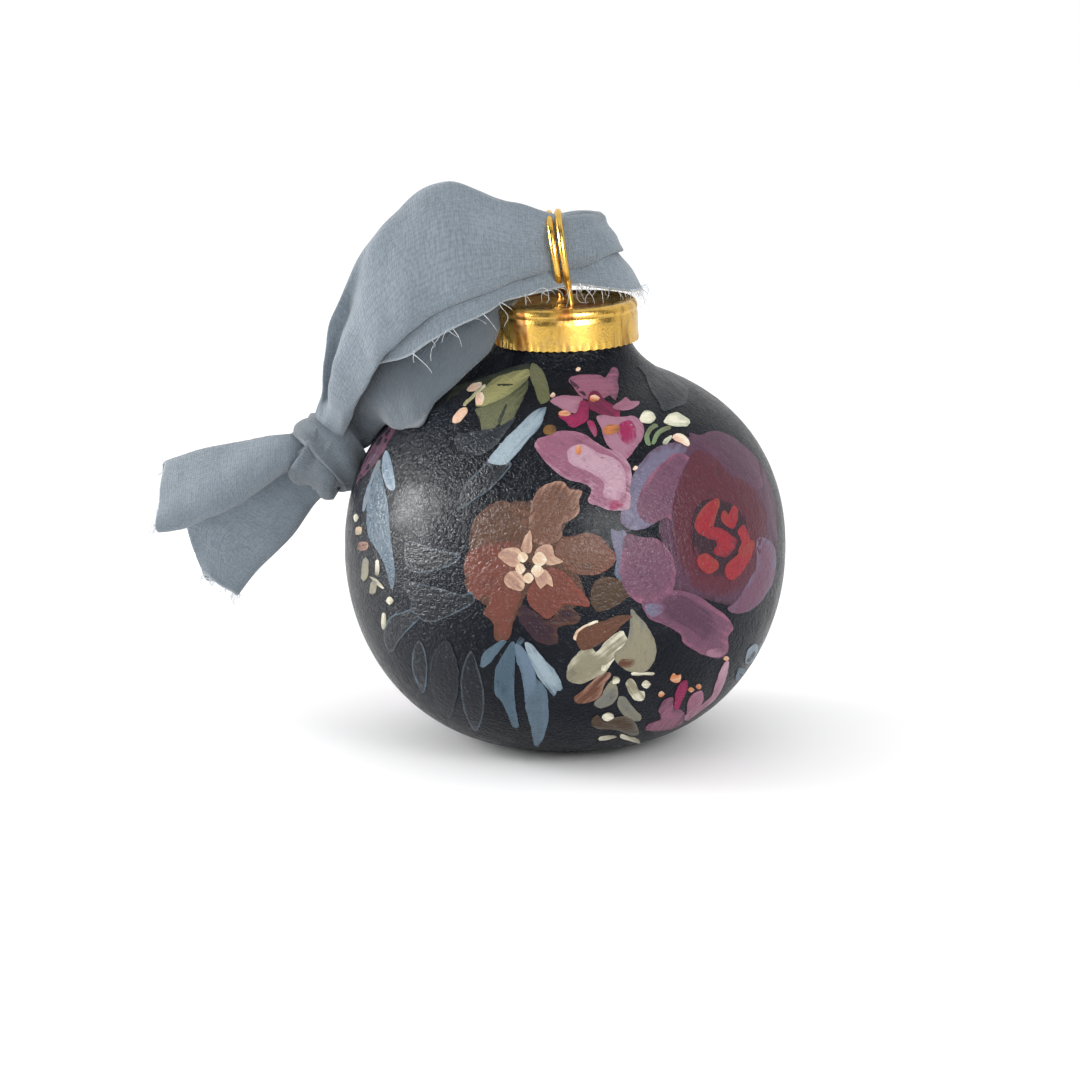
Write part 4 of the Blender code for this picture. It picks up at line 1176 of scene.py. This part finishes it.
class ORNAMENT_OT_ribbon(BuilderOperator, bpy.types.Operator):
    """Fold the chiffon ribbon: its loop through the wire, its knot, its tails and its loose threads"""

    bl_idname = "ornament.ribbon"
    bl_label = "Ribbon"

    def build(self, scene):
        settings = scene.ornament_ribbon
        colour = tuple(settings.cloth_colour)
        cloth = crepe_chiffon("chiffon", colour)
        # Painted shade: the knot gets a darker copy of the same chiffon, standing in for the shade among its gathered
        # wraps.
        shaded_knot_cloth = crepe_chiffon("knot_chiffon", tuple(c * 0.8 for c in colour))
        thread = loose_thread()

        stations = FRONT_RUN + BIGHT + BACK_RUN
        valley = lambda share, v: (
            3.4 * smooth((share - 0.05) / 0.07) * (1 - smooth((share - 0.19) / 0.07))
            * smooth(1 - abs(v - 0.55) / 0.075)
        )
        # Painted shade: the inner layer of the folded loop is drawn darker, except where the loop is gathered in the
        # wire.
        shaded = lambda share, v: smooth((v - 0.62) / 0.2) * (1 - gathered(share))
        loop, points, row = ribbon_sheet("ribbon_loop", stations, loop_fold, 190, 64, 1.3, cloth, 3.0, raw=(0, 1), under=shaded, groove=valley)
        under = [points[i * row] for i in range(len(points) // row)]
        down = lambda share: (
            None if share < 0.27 else Vector((0.1, -0.12, -0.7)) if share < 0.55 else Vector((0.3, 0.3, -0.5))
        )
        fringe = frayed_edge("loop_threads", under, down, settings.loose_threads, 5.5, thread, 11)
        for piece in (loop, fringe):
            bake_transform(piece)
        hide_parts("ribbon_bight", "ribbon_front_strand", "ribbon_back_strand")

        bands = [
            knot_band("knot_core", radians(60), radians(20), 5.2, 4.9, 0.0, shaded_knot_cloth, 2.1),
            knot_band("knot_wrap_low", radians(28), radians(-12), 4.4, 5.6, 0.35, shaded_knot_cloth, 5.3),
            knot_band("knot_wrap_high", radians(-38), radians(30), 3.6, 5.7, 0.5, shaded_knot_cloth, 8.6),
        ]
        make_active(bands[0])
        for band in bands:
            band.select_set(True)
        bpy.ops.object.join()
        bands[0].name = "knot_wraps"
        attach(bands[0], "ribbon")
        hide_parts("ribbon_knot")

        tail_fold = lambda share: mixed(TAIL_FOLD, TAIL_FOLD, 0.0)
        for name, stations, node, long, seed in (
            ("upper_tail", UPPER_TAIL, "ribbon_upper_tail", 0.030, 21.0),
            ("lower_tail", LOWER_TAIL, "ribbon_lower_tail", 0.028, 33.0),
        ):
            ragged = lambda share, v, seed=seed: smooth(share * 3 - 2) * (noise.noise(Vector((v * 9, seed, 0))) * 1.6)
            tail, points, row = ribbon_sheet(name, stations, tail_fold, 60, 56, 1.0, cloth, seed, raw=(0, 1, "end"), trim=ragged, facing=-1)
            end = points[-row:]
            heading = (points[-1] - points[-1 - 6 * row]).normalized()
            fringe = frayed_edge(name + "_threads", end, lambda share, h=heading: h, 60, 4.0, thread, int(seed))
            for piece in (tail, fringe):
                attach(piece, "ribbon")
            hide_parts(node)


class ORNAMENT_OT_stage(BuilderOperator, bpy.types.Operator):
    """Lay the pale floor, hang the lights and set the camera"""

    bl_idname = "ornament.stage"
    bl_label = "Stage"

    def build(self, scene):
        settings = scene.ornament_stage
        floor_finish = Finish("pale_floor", Roughness=0.75, Specular_IOR_Level=0.2)
        tone = floor_finish.millimetres().noise(0.004, 3.0)
        colour = tuple(settings.floor_colour)
        floor_finish.wear(Base_Color=tone.mix(colour, tuple(c * 0.985 for c in colour)))
        bpy.ops.mesh.primitive_plane_add(size=12, location=(0, 2, 0))
        floor = bpy.context.view_layer.objects.active
        floor.name = "pale_floor"
        floor.data.materials.append(floor_finish.material)
        bpy.ops.object.transform_apply(location=True)

        world = bpy.data.worlds.new("studio")
        world.use_nodes = True
        world.node_tree.nodes["Background"].inputs["Color"].default_value = (1.0, 1.0, 1.0, 1.0)
        world.node_tree.nodes["Background"].inputs["Strength"].default_value = 1.06
        scene.world = world

        for name, place_at, size, power, shines_on in (
            ("window", (-0.6, 0.1, 0.235), (0.3, 0.3), settings.window_power, "glossy"),
            ("softbox", (0.45, -0.6, 0.46), (0.3, 0.3), settings.softbox_power, "glossy"),
            ("window_glint", (-0.58, -0.02, 0.2), (0.28, 0.24), 7 * settings.window_power, "diffuse"),
            ("softbox_glint", (0.32, -0.8, 0.38), (0.36, 0.36), 11 * settings.softbox_power, "diffuse"),
        ):
            lamp = bpy.data.lights.new(name, "AREA")
            lamp.shape = "RECTANGLE"
            lamp.size, lamp.size_y = size
            lamp.energy = power
            lamp_object = bpy.data.objects.new(name, lamp)
            scene.collection.objects.link(lamp_object)
            lamp_object.location = place_at
            lamp_object.rotation_euler = (Vector((0, 0, 0.04)) - Vector(place_at)).to_track_quat("-Z", "Y").to_euler()
            setattr(lamp_object, "visible_" + shines_on, False)

        bpy.ops.mesh.primitive_cylinder_add(
            vertices=64, radius=1.5, depth=3, end_fill_type="NOTHING", location=(0, 0, 1.5),
        )
        flag = bpy.context.view_layer.objects.active
        flag.name = "dark_flag"
        bpy.ops.object.mode_set(mode="EDIT")
        bpy.ops.mesh.select_all(action="SELECT")
        bpy.ops.mesh.bisect(plane_co=(0, -0.2, 0), plane_no=(0, 1, 0), clear_outer=True)
        bpy.ops.object.mode_set(mode="OBJECT")
        bpy.ops.object.transform_apply(location=True)
        velvet = Finish("dark_flag_velvet", Roughness=1.0, Specular_IOR_Level=0.0)
        nap = velvet.millimetres().noise(0.01, 2.0)
        flag.data.materials.append(velvet.wear(Base_Color=nap.mix((0.05, 0.05, 0.055), (0.09, 0.09, 0.1))))
        for ray in ("camera", "diffuse", "shadow", "transmission"):
            setattr(flag, "visible_" + ray, False)

        camera = bpy.data.cameras.new("camera")
        camera.lens, camera.sensor_width = 128.5, 36.0
        camera.shift_x, camera.shift_y = -0.0233, -0.0092
        camera.clip_start = 0.01
        camera_object = bpy.data.objects.new("camera", camera)
        scene.collection.objects.link(camera_object)
        eye = SHEET_MIDDLE + Vector((0, -cos(EYE_RISE), sin(EYE_RISE))) * EYE_DISTANCE
        camera_object.location = eye * MM
        camera_object.rotation_euler = (pi / 2 - EYE_RISE, 0, 0)
        scene.camera = camera_object
        scene.view_settings.view_transform = "Standard"


class ORNAMENT_PT_panel(bpy.types.Panel):
    """The ornament's settings and the steps that build it"""

    bl_idname = "ORNAMENT_PT_panel"
    bl_label = "Painted Ball Ornament"
    bl_space_type = "VIEW_3D"
    bl_region_type = "UI"
    bl_category = "Ornament"

    def draw(self, context):
        for group in GROUPS:
            box = self.layout.box()
            settings = getattr(context.scene, group)
            for key in settings.__annotations__:
                box.prop(settings, key)
        for operator in OPERATORS:
            self.layout.operator(operator.bl_idname)


GROUPS = {
    "ornament_paint": ORNAMENT_PG_paint,
    "ornament_metal": ORNAMENT_PG_metal,
    "ornament_ribbon": ORNAMENT_PG_ribbon,
    "ornament_stage": ORNAMENT_PG_stage,
}
OPERATORS = (
    ORNAMENT_OT_ball, ORNAMENT_OT_painting, ORNAMENT_OT_cap, ORNAMENT_OT_wire, ORNAMENT_OT_ribbon, ORNAMENT_OT_stage,
)


def register():
    for cls in (*GROUPS.values(), *OPERATORS, ORNAMENT_PT_panel):
        bpy.utils.register_class(cls)
    for name, cls in GROUPS.items():
        setattr(bpy.types.Scene, name, PointerProperty(type=cls))


def unregister():
    for name in GROUPS:
        delattr(bpy.types.Scene, name)
    for cls in reversed((*GROUPS.values(), *OPERATORS, ORNAMENT_PT_panel)):
        bpy.utils.unregister_class(cls)


def main():
    register()
    deselect_all()
    for operator in OPERATORS:
        group, name = operator.bl_idname.split(".")
        getattr(getattr(bpy.ops, group), name)()


if __name__ == "__main__":
    main()
